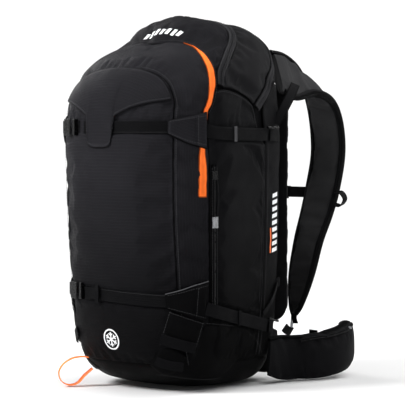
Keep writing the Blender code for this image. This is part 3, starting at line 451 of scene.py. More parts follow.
def foam_mesh(name, colour):
    """Spacer mesh: round holes in staggered rows over padded cloth."""
    t = Tree(name, colour, 0.82, sheen=0.0, specular=0.08)
    u, v, _ = t.cloth()
    holes = t.math("MULTIPLY", t.wave(u, 0.0032), t.wave(v, 0.0032))
    t.bump(t.ramp(holes, 0.1, 0.9), 0.0006, 0.9)
    # painted shade inside the holes, which exist only as a bump
    t.tint(t.ramp(holes, 0.35, 0.9, 0.0, 0.8), scaled(colour, 0.35))
    t.tint(t.ramp(t.noise(24.0, 4.0), 0.45, 0.75, 0.0, 0.4), scaled(colour, 1.7))
    return t.material


def printed(name, colour, cracks=0.5):
    """Reflective print: a little raised, with a fine grain and small worn spots."""
    t = Tree(name, colour, 0.42, coat=0.1)
    t.bump(t.noise(900.0, 2.0), 0.00008, 0.6)
    t.tint(t.ramp(t.noise(210.0, 6.0), 0.60, 0.72, 0.0, cracks), scaled(colour, 0.45))
    t.rough(t.ramp(t.noise(300.0, 3.0), 0.3, 0.7, 0.34, 0.55))
    return t.material


CHARCOAL = (0.0125, 0.0122, 0.0144)
LOOKS = {
    # shade and reach set the painted shade that woven() puts toward the bottom: the front gets a little more, the fins
    # none
    "front": woven("front_ripstop", CHARCOAL, 0.54, 0.0011, rib=0.0052, lines=0.35, specular=0.028, shade=0.97,
                   reach=0.38),
    "lid": woven("lid_ripstop", (0.0096, 0.0094, 0.0110), 0.56, 0.0011, rib=0.0052, lines=0.35, specular=0.025),
    "fin": woven("fin_plain_weave", (0.0062, 0.0062, 0.0069), 0.52, 0.0013, depth=0.00025, specular=0.02, shade=0.0),
    "side": woven("side_plain_weave", (0.0056, 0.0056, 0.0063), 0.52, 0.0013, depth=0.00025, specular=0.02),
    "cover": woven("cover_diamond_weave", (0.0105, 0.0105, 0.0115), 0.64, 0.0042, depth=0.00035, diamond=True),
    "patch": woven("reinforced_weave", (0.0064, 0.0064, 0.0072), 0.50, 0.0018, depth=0.00040),
    "tape": woven("zip_tape_weave", (0.0210, 0.0210, 0.0228), 0.58, 0.0009, depth=0.00018),
    "lining": woven("lining_weave", (0.0040, 0.0040, 0.0045), 0.80, 0.0012),
    "strap": woven("harness_stretch_knit", (0.0390, 0.0390, 0.0405), 0.78, 0.0010, depth=0.00030, sheen=0.0),
    "binding": woven("edge_binding", (0.0060, 0.0060, 0.0066), 0.60, 0.0012, depth=0.00025),
    "orange": woven("orange_ribbed_tape", (0.90, 0.165, 0.028), 0.58, 0.0015, depth=0.00025, sheen=0.0),
    "airbag": woven("folded_airbag_cloth", (0.80, 0.12, 0.02), 0.55, 0.0008),
    "webbing": webbing_look("black_webbing", (0.0026, 0.0026, 0.0030)),
    "orange_webbing": webbing_look("orange_webbing", (0.93, 0.20, 0.045), 0.6),
    "mesh": foam_mesh("spacer_mesh", (0.0085, 0.0085, 0.0092)),
    "buckle": moulded("satin_acetal", (0.0034, 0.0034, 0.0038), 0.22),
    "coil": moulded("zip_coil", (0.0060, 0.0060, 0.0066), 0.32),
    "housing": moulded("filled_nylon", (0.045, 0.045, 0.050), 0.48),
    "sheet": moulded("polyethylene", (0.32, 0.32, 0.34), 0.45, 200.0),
    "grip": moulded("orange_grip", (0.82, 0.13, 0.02), 0.40),
    "thread": webbing_look("sewing_thread", (0.0380, 0.0380, 0.0400), 0.6),
    "light_thread": webbing_look("light_piping", (0.050, 0.050, 0.053), 0.5),
    "silver": metal("satin_aluminium", (0.50, 0.51, 0.53), 0.26),
    "cord": webbing_look("braided_cord", (0.0040, 0.0040, 0.0045), 0.6),
    "steel": metal("brushed_steel", (0.50, 0.51, 0.53), 0.34),
    "white": printed("reflective_print", (0.82, 0.83, 0.84)),
    "orange_print": printed("orange_print", (0.85, 0.16, 0.03)),
}


# ---------------------------------------------------------------- meshes

def put(name, verts, faces, look, body="root", slot=None, stands_for=(), weave=None, sharp=38):
    """One piece: a mesh with its cloth coordinates, riding on a body."""
    mesh = bpy.data.meshes.new(name)
    mesh.from_pydata(np.asarray(verts, float).reshape(-1, 3).tolist(), [], [list(f) for f in faces])
    work = bmesh.new()
    work.from_mesh(mesh)
    bmesh.ops.recalc_face_normals(work, faces=work.faces)
    work.to_mesh(mesh)
    work.free()
    if weave is not None:
        layer = mesh.attributes.new("weave", "FLOAT_VECTOR", "POINT")
        layer.data.foreach_set("vector", np.asarray(weave, np.float32).ravel())
    mesh.shade_smooth()
    mesh.set_sharp_from_angle(angle=math.radians(sharp))
    mesh.materials.append(LOOKS[look])
    made = bpy.data.objects.new(name, mesh)
    bpy.context.scene.collection.objects.link(made)
    if body:
        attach(made, body)
    if stands_for:
        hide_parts(*([stands_for] if isinstance(stands_for, str) else stands_for))
    return made


def arc(points, axis):
    steps = np.linalg.norm(np.diff(points, axis=axis), axis=-1)
    zero = np.zeros_like(np.take(steps, [0], axis))
    return np.cumsum(np.concatenate([zero, steps], axis), axis)


def grid_normals(points, core=None):
    normal = unit(np.cross(np.gradient(points, axis=1), np.gradient(points, axis=0)))
    core = np.array((0.0, CORE_Y, 0.28)) if core is None else core
    flip = np.sum(normal * (points - core), axis=-1, keepdims=True) < 0
    return np.where(flip, -normal, normal)


def border_distance(points):
    u, v = arc(points, 1), arc(points, 0)
    near = np.minimum(np.minimum(u, u[:, -1:] - u), np.minimum(v, v[-1:] - v))
    return u, v, near


def slab_faces(rows, columns):
    count = rows * columns
    r, c = np.meshgrid(np.arange(rows - 1), np.arange(columns - 1), indexing="ij")
    a = (r * columns + c).ravel()
    quads = np.stack([a, a + 1, a + columns + 1, a + columns], -1)
    rim = list(range(columns)) + [k * columns + columns - 1 for k in range(1, rows)]
    rim += [(rows - 1) * columns + k for k in range(columns - 2, -1, -1)]
    rim += [k * columns for k in range(rows - 2, 0, -1)]
    rim = np.array(rim)
    walls = np.stack([np.roll(rim, -1), rim, rim + count, np.roll(rim, -1) + count], -1)
    return np.concatenate([quads, quads[:, ::-1] + count, walls]).tolist()


def slab(name, outer, look, thickness=0.0014, normals=None, **kw):
    """Closed cloth from its outer grid of points."""
    u, v, near = border_distance(outer)
    normals = grid_normals(outer) if normals is None else normals
    weave = np.stack([u, v, near], -1)
    verts = np.concatenate([outer.reshape(-1, 3), (outer - normals * thickness).reshape(-1, 3)])
    weave = np.concatenate([weave.reshape(-1, 3)] * 2)
    return put(name, verts, slab_faces(*outer.shape[:2]), look, weave=weave, **kw)


def waves(points, size, seed, count=9, stretch=(1, 1, 1)):
    """Smooth seeded unevenness of about that size, from about -1 to 1."""
    rng = np.random.default_rng(seed)
    total = np.zeros(points.shape[:-1])
    for _ in range(count):
        k = unit(rng.normal(size=3)) * np.array(stretch) * 2 * math.pi / (size * rng.uniform(0.7, 1.7))
        total += np.sin(points @ k + rng.uniform(0, 2 * math.pi))
    return total / math.sqrt(count)


def step(t):
    t = np.clip(t, 0.0, 1.0)
    return t * t * (3 - 2 * t)


def cloth_run(points, pinned, pressure, cap, shrink=-0.02, frames=16):
    """Lets a grid of cloth, held where it is pinned, swell and wrinkle; returns where its points end up."""
    rows, columns = points.shape[:2]
    r, c = np.meshgrid(np.arange(rows - 1), np.arange(columns - 1), indexing="ij")
    a = (r * columns + c).ravel()
    faces = np.stack([a, a + 1, a + columns + 1, a + columns], -1)
    normal = np.cross(points[0, 1] - points[0, 0], points[1, 0] - points[0, 0])
    if normal @ (points[0, 0] - np.array((0, CORE_Y, 0.28))) < 0:
        faces = faces[:, ::-1]
    mesh = bpy.data.meshes.new("cloth_run")
    mesh.from_pydata(points.reshape(-1, 3).tolist(), [], faces.tolist())
    return run_cloth(mesh, pinned.ravel(), pressure, cap, shrink, frames).reshape(points.shape)


def run_cloth(mesh, pinned, pressure, cap, shrink, frames):
    scene = bpy.context.scene
    made = bpy.data.objects.new("cloth_run", mesh)
    scene.collection.objects.link(made)
    start = np.zeros(len(mesh.vertices) * 3)
    mesh.vertices.foreach_get("co", start)
    start = start.reshape(-1, 3)
    group = made.vertex_groups.new(name="held")
    group.add([int(i) for i in np.flatnonzero(pinned)], 1.0, "REPLACE")
    cloth = made.modifiers.new("cloth", "CLOTH")
    settings = cloth.settings
    settings.quality = 5
    settings.mass = 0.25
    settings.tension_stiffness = 12
    settings.compression_stiffness = 12
    settings.shear_stiffness = 6
    settings.bending_stiffness = 0.35
    settings.use_pressure = True
    settings.uniform_pressure_force = pressure
    settings.effector_weights.gravity = 0
    settings.vertex_group_mass = "held"
    settings.shrink_min = shrink
    cloth.collision_settings.use_collision = False
    cloth.point_cache.frame_start = 1
    cloth.point_cache.frame_end = frames
    for number in range(1, frames + 1):
        scene.frame_set(number)
    result = made.evaluated_get(bpy.context.evaluated_depsgraph_get())
    end = np.zeros(len(start) * 3)
    result.data.vertices.foreach_get("co", end)
    end = end.reshape(-1, 3)
    scene.frame_set(1)
    bpy.data.objects.remove(made)
    move = end - start
    length = np.linalg.norm(move, axis=1, keepdims=True)
    return start + move * np.minimum(1.0, cap / np.maximum(length, 1e-9))


def held_by_belts(points):
    """1 where a compression strap presses the cloth, 0 away from it."""
    x, y, z = points[..., 0], points[..., 1], points[..., 2]
    on_front = y < -0.06
    upper = np.where(on_front, UPPER_STRAP, np.interp(y, (-0.06, 0.08), (0.4160, 0.4122)))
    lower_front = np.interp(x, (-0.10, 0.10), (LOWER_LEFT, LOWER_RIGHT))
    lower = np.where(on_front, lower_front, np.interp(y, (-0.06, 0.09), (0.134, 0.098)))
    near = np.minimum(np.abs(z - upper), np.abs(z - lower))
    near = np.where(y > 0.10, 1.0, near)
    return step(1.6 - near / 0.012)


def panel(name, grid, look, slot, stands_for, seed, swell=0.0022, folds=0.0006, depth=0.0017, limit=0.006,
          pressure=1.6, cap=0.006, shrink=-0.02, thickness=0.0014, belts=True, mirrored=False, body="root",
          run=True, stretch=(1, 1, 1), fine=0.4):
    """A sewn panel: sunk at its seams, pulled in under the straps and swollen between them."""
    surface = skin(grid)
    normal = grid_normals(surface)
    _, _, near = border_distance(surface)
    pressed = held_by_belts(surface) if belts else np.zeros(near.shape)
    rise = swell * step(near / 0.04) + folds * waves(surface, 0.055, seed, stretch=stretch) * step(near / 0.02)
    rise += fine * folds * waves(surface, 0.018, seed + 1) * step(near / 0.01)
    rise = rise * (1 - pressed) - 0.0004 * pressed
    rise -= depth * np.exp(-(near / 0.0024) ** 2)
    shaped = surface + normal * rise[..., None]
    if run:
        pinned = (near < 0.0011) | (pressed > 0.75)
        moved = cloth_run(shaped, pinned, pressure, cap, shrink)
        out = np.sum((moved - surface) * normal, axis=-1)
        excess = np.maximum(out - limit, 0.0)
        shaped = moved - normal * excess[..., None]
    if mirrored:
        made = slab(name[0], shaped, look, thickness, slot=slot, stands_for=stands_for[0], body=body)
        other = shaped * np.array((-1.0, 1.0, 1.0))
        return made, slab(name[1], other, look, thickness, slot=slot, stands_for=stands_for[1], body=body)
    return slab(name, shaped, look, thickness, slot=slot, stands_for=stands_for, body=body)


def tube(name, rings, look, weave=None, **kw):
    """Closed body through a stack of rings."""
    rings = np.asarray(rings, float)
    count, sides = rings.shape[:2]
    r, k = np.meshgrid(np.arange(count - 1), np.arange(sides), indexing="ij")
    n = (k + 1) % sides
    quads = np.stack([r * sides + k, (r + 1) * sides + k, (r + 1) * sides + n, r * sides + n], -1)
    faces = quads.reshape(-1, 4).tolist()
    faces += [list(range(sides)), [count * sides - 1 - i for i in range(sides)]]
    return put(name, rings, faces, look, weave=weave, **kw)


def swept(centres, across, half_widths, half_depths, sides=20, power=3.0, shape=None):
    """Rings along a centre line and their cloth coordinates. shape(turn, share) adds to the outline."""
    centres = np.asarray(centres, float)
    count = len(centres)
    t = unit(np.gradient(centres, axis=0))
    w = np.broadcast_to(np.asarray(across, float), (count, 3))
    w = unit(w - t * np.sum(w * t, axis=1, keepdims=True))
    d = np.cross(t, w)
    half_widths = np.broadcast_to(half_widths, count)
    half_depths = np.broadcast_to(half_depths, count)
    turn = (np.arange(sides) + 0.5) * 2 * math.pi / sides
    c, s = np.cos(turn), np.sin(turn)
    wide, deep = np.sign(c) * np.abs(c) ** (2 / power), np.sign(s) * np.abs(s) ** (2 / power)
    out_w = wide[None, :] * half_widths[:, None]
    out_d = deep[None, :] * half_depths[:, None]
    if shape is not None:
        extra = shape(turn[None, :], even(count)[:, None])
        out_d = out_d + extra * np.sign(s)[None, :]
    rings = centres[:, None, :] + out_w[..., None] * w[:, None, :] + out_d[..., None] * d[:, None, :]
    reach = arc(centres, 0)
    weave = np.stack([out_w, np.broadcast_to(reach[:, None], out_w.shape), half_widths[:, None] - np.abs(out_w)], -1)
    return rings, weave


def ribbon(name, points, across, look="webbing", half=BELT / 2, thickness=0.0016, pitch=0.003, **kw):
    """Webbing along a line, with rounded edges."""
    centres = line(points, pitch)
    if np.ndim(across) == 2:
        across = smooth_path(across, even(len(centres)))
    rings, weave = swept(centres, across, half, thickness / 2, sides=24, power=7.0)
    kw.setdefault("slot", "webbing")
    return tube(name, rings, look, weave=weave, **kw)


def on_form(name, points, look="webbing", half=BELT / 2, out=0.0018, thickness=0.0016, up=(0, 0, 1), ripple=0.0,
            seed=3, **kw):
    """Webbing along the form, given the middle of its width."""
    centres = line(points)
    lift = np.zeros(len(centres)) if not ripple else ripple * waves(centres, 0.03, seed)
    centres = skin(centres, 0.0)
    outward = unit(skin(centres, 0.01) - centres)
    centres = centres + outward * (out + lift)[:, None]
    t = unit(np.gradient(centres, axis=0))
    across = unit(np.cross(outward, t)) if up is None else np.asarray(up, float)
    rings, weave = swept(centres, across, half, thickness / 2, sides=24, power=7.0)
    kw.setdefault("slot", "webbing")
    return tube(name, rings, look, weave=weave, **kw)


def piping(name, points, radius=0.0011, out=0.0006, look="binding", body="root", form=True, **kw):
    centres = line(points, 0.0035)
    if form:
        centres = skin(centres, out)
    outward = unit(centres - np.array((0, CORE_Y, 0.28)))
    rings, weave = swept(centres, outward, radius, radius, sides=10, power=2.0)
    return tube(name, rings, look, weave=weave, body=body, **kw)


def stitches(name, rows, look="thread", pitch=0.0042, length=0.0029, radius=0.00036, out=0.0010, form=True,
             body="root", across=False, **kw):
    """Rows of stitches: each row is a line of points, or (points, normals) when it isn't on the form."""
    turn = np.arange(6) * math.pi / 3
    verts, faces, weave = [], [], []
    for row in rows:
        if form:
            path = skin(line(row, 0.002), out)
            normal = unit(skin(path, 0.02) - path)
        else:
            path, normal = row
        reach = arc(path, 0)
        spots = np.arange(pitch / 2, reach[-1], pitch)
        at = np.stack([np.interp(spots, reach, path[:, k]) for k in range(3)], -1)
        t = unit(np.stack([np.interp(spots, reach, np.gradient(path, axis=0)[:, k]) for k in range(3)], -1))
        n = unit(np.stack([np.interp(spots, reach, normal[:, k]) for k in range(3)], -1))
        s = unit(np.cross(n, t))
        if across:
            t, s = s, t
        for i in range(len(spots)):
            first = len(verts)
            for along, size in ((-0.5, 0.45), (-0.30, 1.0), (0.30, 1.0), (0.5, 0.45)):
                lift = radius * (0.2 if abs(along) < 0.4 else -0.7)
                middle = at[i] + t[i] * along * length + n[i] * lift
                for angle in turn:
                    spot = s[i] * math.cos(angle) + n[i] * math.sin(angle)
                    verts.append(middle + spot * radius * size)
                    weave.append((radius * math.cos(angle), along * length, 0.01))
            for ring in range(3):
                for k in range(6):
                    m = (k + 1) % 6
                    a = first + ring * 6
                    faces.append((a + k, a + 6 + k, a + 6 + m, a + m))
            faces.append(tuple(first + k for k in range(6)))
            faces.append(tuple(first + 23 - k for k in range(6)))
    return put(name, verts, faces, look, body=body, weave=weave, **kw)


def frame_at(point, along, out):
    x = Vector(along).normalized()
    z = Vector(out)
    z = (z - x * z.dot(x)).normalized()
    return np.array(point, float), np.array(x), np.array(z.cross(x)), np.array(z)


def blocks(name, at, boxes, look, bevel=0.0008, body="root", segments=3, **kw):
    """Rounded boxes in a frame of point, along, across and out: each is its size, offset and turn about across."""
    origin, x, y, z = at
    work = bmesh.new()
    for box in boxes:
        size, offset = box[:2]
        tilt = box[2] if len(box) > 2 else 0.0
        cube = bmesh.new()
        bmesh.ops.create_cube(cube, size=1.0)
        for v in cube.verts:
            v.co = Vector((v.co.x * size[0], v.co.y * size[1], v.co.z * size[2]))
        width = min(bevel, 0.45 * min(size))
        bmesh.ops.bevel(cube, geom=cube.edges[:], offset=width, segments=segments, profile=0.5, affect="EDGES")
        c, s = math.cos(tilt), math.sin(tilt)
        for v in cube.verts:
            a, b, d = v.co.x * c + v.co.z * s + offset[0], v.co.y + offset[1], v.co.z * c - v.co.x * s + offset[2]
            v.co = Vector(origin + x * a + y * b + z * d)
        part = bpy.data.meshes.new("part")
        cube.to_mesh(part)
        cube.free()
        work.from_mesh(part)
        bpy.data.meshes.remove(part)
    verts = [tuple(v.co) for v in work.verts]
    work.verts.ensure_lookup_table()
    faces = [[v.index for v in f.verts] for f in work.faces]
    work.free()
    return put(name, verts, faces, look, body=body, sharp=50, **kw)


def laid_on(points, cloth, lift):
    """Points moved onto the outer face of a piece of cloth, then out by a distance."""
    tree = BVHTree.FromPolygons([tuple(v.co) for v in cloth.data.vertices],
                                [tuple(f.vertices) for f in cloth.data.polygons])
    flat = points.reshape(-1, 3)
    away = skin(flat, 0.03)
    outward = unit(away - skin(flat))
    spots = []
    for start, direction in zip(away, outward):
        hit = tree.ray_cast(Vector(start), -Vector(direction))[0]
        spot = np.array(hit) if hit is not None else start - direction * 0.03
        spots.append(spot + direction * lift)
    return np.array(spots).reshape(points.shape)


def decal(name, quads, place, look, cloth, thickness=0.0005, cells=5, **kw):
    """Print on cloth: each quad has four corners in two coordinates that place() turns into points."""
    verts, faces = [], []
    for quad in quads:
        q = np.array(quad, float)
        u, v = np.meshgrid(even(cells), even(cells))
        flat = ((1 - u) * (1 - v))[..., None] * q[0] + (u * (1 - v))[..., None] * q[1]
        flat = flat + (u * v)[..., None] * q[2] + ((1 - u) * v)[..., None] * q[3]
        points = np.array([[place(a, b) for a, b in row] for row in flat])
        first = len(verts)
        outer = laid_on(points, cloth, thickness * 0.6)
        inner = laid_on(points, cloth, -thickness * 0.4)
        verts += outer.reshape(-1, 3).tolist() + inner.reshape(-1, 3).tolist()
        faces += [[i + first for i in f] for f in slab_faces(cells, cells)]
    return put(name, verts, faces, look, **kw)


def patch(name, corners, look, out=0.0030, thickness=0.0016, cells=28, slot="side_fabric", seed=5, **kw):
    """Cloth sewn flat on the form, between four edges that are each a list of points."""
    grid = coons(*corners, cells, cells)
    surface = skin(grid)
    _, _, near = border_distance(surface)
    rise = out - 0.0012 * np.exp(-(near / 0.002) ** 2) + 0.0003 * waves(surface, 0.03, seed) * step(near / 0.01)
    return slab(name, surface + grid_normals(surface) * rise[..., None], look, thickness, slot=slot, **kw)


def straight(a, b, count=5):
    return [tuple(np.array(a) + (np.array(b) - np.array(a)) * t) for t in even(count)]


def mirrored_rows(rows):
    return [mirror_x([tuple(p) for p in row]) for row in rows]


# ---------------------------------------------------------------- camera and cord

def camera():
    target = Vector((0.0429, 0.0360, 0.3000))
    turn, lift, distance = math.radians(40), math.radians(2.1), 3.4
    away = Vector((math.sin(turn) * math.cos(lift), -math.cos(turn) * math.cos(lift), math.sin(lift)))
    data = bpy.data.cameras.new("camera")
    data.sensor_width = 36.0
    data.lens = 182.8
    made = bpy.data.objects.new("camera", data)
    made.location = target + away * distance
    made.rotation_euler = (-away).to_track_quat("-Z", "Y").to_euler()
    bpy.context.scene.collection.objects.link(made)
    bpy.context.scene.camera = made


ZIP_CORD_ROUTE = ((0.1533, -0.0600, 0.3401), (0.1540, -0.0582, 0.3250), (0.1538, -0.0576, 0.3100),
                  (0.1532, -0.0582, 0.2950), (0.1525, -0.0590, 0.2830))
SIDE_ZIP = ((-0.0530, 0.134), (-0.0599, 0.28), (-0.0615, 0.365))
SIDE_ZIP_OUT = 0.0050
ZIP_TOP = 0.348
TAG_CENTRE = 0.2735


def zip_frame(z):
    def at(height):
        y = np.interp(height, [h for _, h in SIDE_ZIP], [a for a, _ in SIDE_ZIP])
        return skin(np.array(side(y, height)), SIDE_ZIP_OUT)
    centre = at(z)
    return frame_at(centre, at(z - 0.02) - centre, skin(centre, 0.02) - centre)


def zip_pull():
    """Slider of the side zip with its cord and tag."""
    at = zip_frame(TAG_CENTRE)
    tag = blocks("side_zip_tag_plate", at, [((0.0180, 0.0100, 0.0024), (0, 0, 0)),
                                           ((0.0110, 0.0060, 0.0034), (0.0015, 0, 0)),
                                           ((0.0034, 0.0100, 0.0036), (-0.0078, 0, 0))],
                 "silver", 0.0007, body="zip_slider", slot="silver_metal", stands_for="side_zip_tag")
    points = smooth_path(ZIP_CORD_ROUTE, even(24))
    curve = bpy.data.curves.new("side_zip_pull_cord", "CURVE")
    curve.dimensions = "3D"
    curve.bevel_depth = 0.0015
    curve.bevel_resolution = 4
    curve.use_fill_caps = True
    spline = curve.splines.new("POLY")
    spline.points.add(len(points) - 1)
    for point, place in zip(spline.points, points):
        point.co = (*place, 1.0)
    curve.materials.append(LOOKS["cord"])
    pull = bpy.data.objects.new("side_zip_pull_cord", curve)
    bpy.context.scene.collection.objects.link(pull)
    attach(pull, "zip_slider")
    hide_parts("side_zip_cord")
    length = float(arc(points, 0)[-1])
    top = zip_frame(ZIP_TOP)
    blocks("side_zip_slider_body", top, [((0.0135, 0.0088, 0.0014), (0, 0, 0.0010)),
                                        ((0.0135, 0.0088, 0.0012), (0, 0, -0.0010)),
                                        ((0.0030, 0.0086, 0.0032), (-0.0048, 0, 0)),
                                        ((0.0090, 0.0024, 0.0018), (0.0015, 0, 0.0020))],
           "buckle", 0.0006, body="zip_slider", slot="silver_metal", stands_for="side_zip_slider")


# ---------------------------------------------------------------- fabric panels

def body_panels():
    left, rise, corner = mirror_x(front_seam()), arch()[:3], arch()[2:]
    base = [front(x, BASE_SEAM) for x in (-0.1085, -0.06, 0.0, 0.06, 0.1085)]
    grid = coons(base, mirror_x(corner) + corner[-2::-1], left + mirror_x(rise), front_seam() + rise, 92, 124)
    panel("front_panel_cloth", grid, "front", "front_fabric", "front_panel", 11, limit=0.0038, folds=0.0005,
          stretch=(0.6, 0.6, 1.4))
    inner, outer = over_the_middle(front_seam() + arch()), over_the_middle(side_zip_line() + lid_seam())
    half_in, half_out = front_seam() + arch(), side_zip_line()[:-1] + lid_seam()
    grid = coons(over_the_middle(half_in), over_the_middle(half_out), [inner[0], outer[0]],
                 mirror_x([inner[0], outer[0]]), 260, 22)
    panel("crown_panel_cloth", grid, "front", "front_fabric", "crown_panel", 12, swell=0.0018, limit=0.0032)
    lid_front = over_the_middle(lid_seam()[2:])
    lid_rear = over_the_middle(beside(lid_zip_line(), -ZIP_HALF))
    end = [lid_front[0], lid_rear[0]]
    panel("lid_panel_cloth", coons(lid_front, lid_rear, end, mirror_x(end), 120, 40), "lid", "front_fabric",
          "lid_panel", 13, swell=0.003, limit=0.006, belts=False)
    near = over_the_middle(beside(lid_zip_line(), ZIP_HALF))
    far = over_the_middle(beside(airbag_zip_line(), -ZIP_HALF))
    end = [near[0], side(-0.010, 0.4850), side(0.0200, 0.4740), far[0]]
    panel("airbag_cover_cloth", coons(near, far, end, mirror_x(end), 130, 40), "cover", "front_fabric",
          "airbag_cover", 14, swell=0.0015, limit=0.004, belts=False, depth=0.0022)
    near = over_the_middle(beside(airbag_zip_line(), ZIP_HALF)[2:])
    far = over_the_middle(yoke_edge())
    end = [near[0], far[0]]
    panel("rear_yoke_cloth", coons(near, far, end, mirror_x(end), 120, 26), "side", "front_fabric",
          "rear_yoke_panel", 15, swell=0.002, limit=0.004, belts=False, folds=0.0009)
    rear_edge = [side(STITCH_Y, z) for z in (BASE_SEAM, 0.14, 0.25, 0.35, 0.397)]
    base = [side(y, BASE_SEAM) for y in (-0.054, 0.0, STITCH_Y)]
    grid = coons(base, side_top(), side_front_edge(), rear_edge, 58, 150)
    panel(("right_side_cloth", "left_side_cloth"), grid, "side", "side_fabric",
          ("right_side_panel", "left_side_panel"), 16, limit=0.0034, mirrored=True, folds=0.0007, fine=0.1)
    rise = [side(STITCH_Y, z) for z in (BASE_SEAM, 0.14, 0.25, 0.35, 0.40)]
    rise += [side(0.0630, 0.4150), side(0.0605, 0.43), side(0.0610, 0.455), side(0.080, 0.4800),
             side(0.098, YOKE_EDGE)]
    base = [side(y, BASE_SEAM) for y in (STITCH_Y, 0.10, 0.125)]
    base += [tuple(skin((x, 0.136, BASE_SEAM))) for x in (0.115, 0.06, 0.0)]
    grid = coons(over_the_middle(base), over_the_middle(yoke_edge()), rise, mirror_x(rise), 170, 90)
    panel("back_shell_cloth", grid, "side", "side_fabric", "back_shell", 17, swell=0.0006, limit=0.0012,
          folds=0.0005, run=False, belts=False)


def base_bowl():
    """Bowl under the base seam, with a flat middle to stand on, and the lining inside the whole pack."""
    turns = np.linspace(0, 2 * math.pi, 160, endpoint=False)

    def ring(z, out=0.0):
        half, middle, front_reach, rear_reach, front_power, rear_power = section(z)
        c, s = np.cos(turns), np.sin(turns)
        power = np.where(s < 0, front_power, rear_power)
        reach = np.where(s < 0, front_reach, rear_reach)
        x = half * np.sign(c) * np.abs(c) ** (2 / power)
        y = middle + reach * np.sign(s) * np.abs(s) ** (2 / power)
        points = np.stack([x, y, np.full(len(turns), z)], -1)
        points[:, :2] += unit(points[:, :2] - np.array((0, CORE_Y))) * out
        return points
    levels = np.concatenate([np.linspace(BASE_SEAM - 0.0002, 0.030, 10), np.linspace(0.028, 0.0, 16)])
    outer = []
    for z in levels:
        points = ring(z)
        near = BASE_SEAM - z
        bump = 0.0006 * waves(points, 0.05, 21) * step(near / 0.012) * step(z / 0.006)
        sink = -0.0016 * math.exp(-(near / 0.0024) ** 2)
        outer.append(points + unit(points - np.array((0, CORE_Y, 0.1))) * (bump + sink)[:, None])
    inner = [ring(max(z, 0.003), -0.004) for z in levels]
    rings = np.array(outer + inner[::-1])
    u = np.broadcast_to(arc(np.vstack([rings[0], rings[0][:1]]), 0)[:-1], rings.shape[:2])
    weave = np.stack([u, rings[..., 2], np.full(u.shape, 0.02)], -1)
    count, sides = rings.shape[:2]
    verts, faces = rings.reshape(-1, 3), []
    for r in range(count):
        if r == len(levels) - 1:
            continue
        for k in range(sides):
            n, m = (k + 1) % sides, (r + 1) % count
            faces.append((r * sides + k, r * sides + n, m * sides + n, m * sides + k))
    foot = (len(levels) - 1) * sides
    faces.append([foot + k for k in range(sides)])
    faces.append([foot + sides + k for k in reversed(range(sides))])
    put("base_bowl", verts, faces, "patch", slot="side_fabric", stands_for="base_panel", weave=weave.reshape(-1, 3))
    heights = np.linspace(0.006, TOP - 0.006, 70)
    rings = []
    for z in heights:
        points = ring(z)
        core = np.array((0, CORE_Y, min(max(z, CORE_LOW), CORE_HIGH)))
        rings.append(points + unit(core - points) * 0.0052)
    rings = np.array(rings)
    u = np.broadcast_to(arc(np.vstack([rings[0], rings[0][:1]]), 0)[:-1], rings.shape[:2])
    weave = np.stack([u, rings[..., 2], np.full(u.shape, 0.02)], -1)
    tube("pack_lining", rings, "lining", weave=weave.reshape(-1, 3), slot="side_fabric")


def zip_bands():
    """Wide zips of the lid and of the airbag cover: two tapes that meet over a covered coil."""
    for name, path, node in (("lid_zip_band", lid_zip_line(), "lid_zip_tape"),
                             ("airbag_zip_band", airbag_zip_line(), "airbag_zip_tape")):
        rows = 27
        grid = np.array([smooth_path(over_the_middle(beside(path, -ZIP_HALF + 2 * ZIP_HALF * t)), even(220))
                         for t in even(rows)])
        surface = skin(grid)
        across = np.abs(even(rows) * 2 - 1)[:, None]
        rise = 0.0016 + 0.0009 * np.exp(-((across - 0.16) / 0.09) ** 2) + 0.0007 * np.exp(-((across - 0.62) / 0.10) ** 2)
        rise = rise - 0.0010 * np.exp(-(across / 0.05) ** 2) - 0.0026 * step((across - 0.86) / 0.14)
        rise = rise + 0.0003 * waves(surface, 0.03, 31)
        slab(name, surface + grid_normals(surface) * rise[..., None], "tape", 0.0012, slot="zip_tape", stands_for=node)
        edges = [beside(path, shift) for shift in (-0.0052, 0.0052, -0.0030, 0.0030)]
        stitches(f"{name}_stitching", [over_the_middle(edge) for edge in edges[:2]], out=0.0022, pitch=0.0036,
                 length=0.0025, slot="zip_tape")


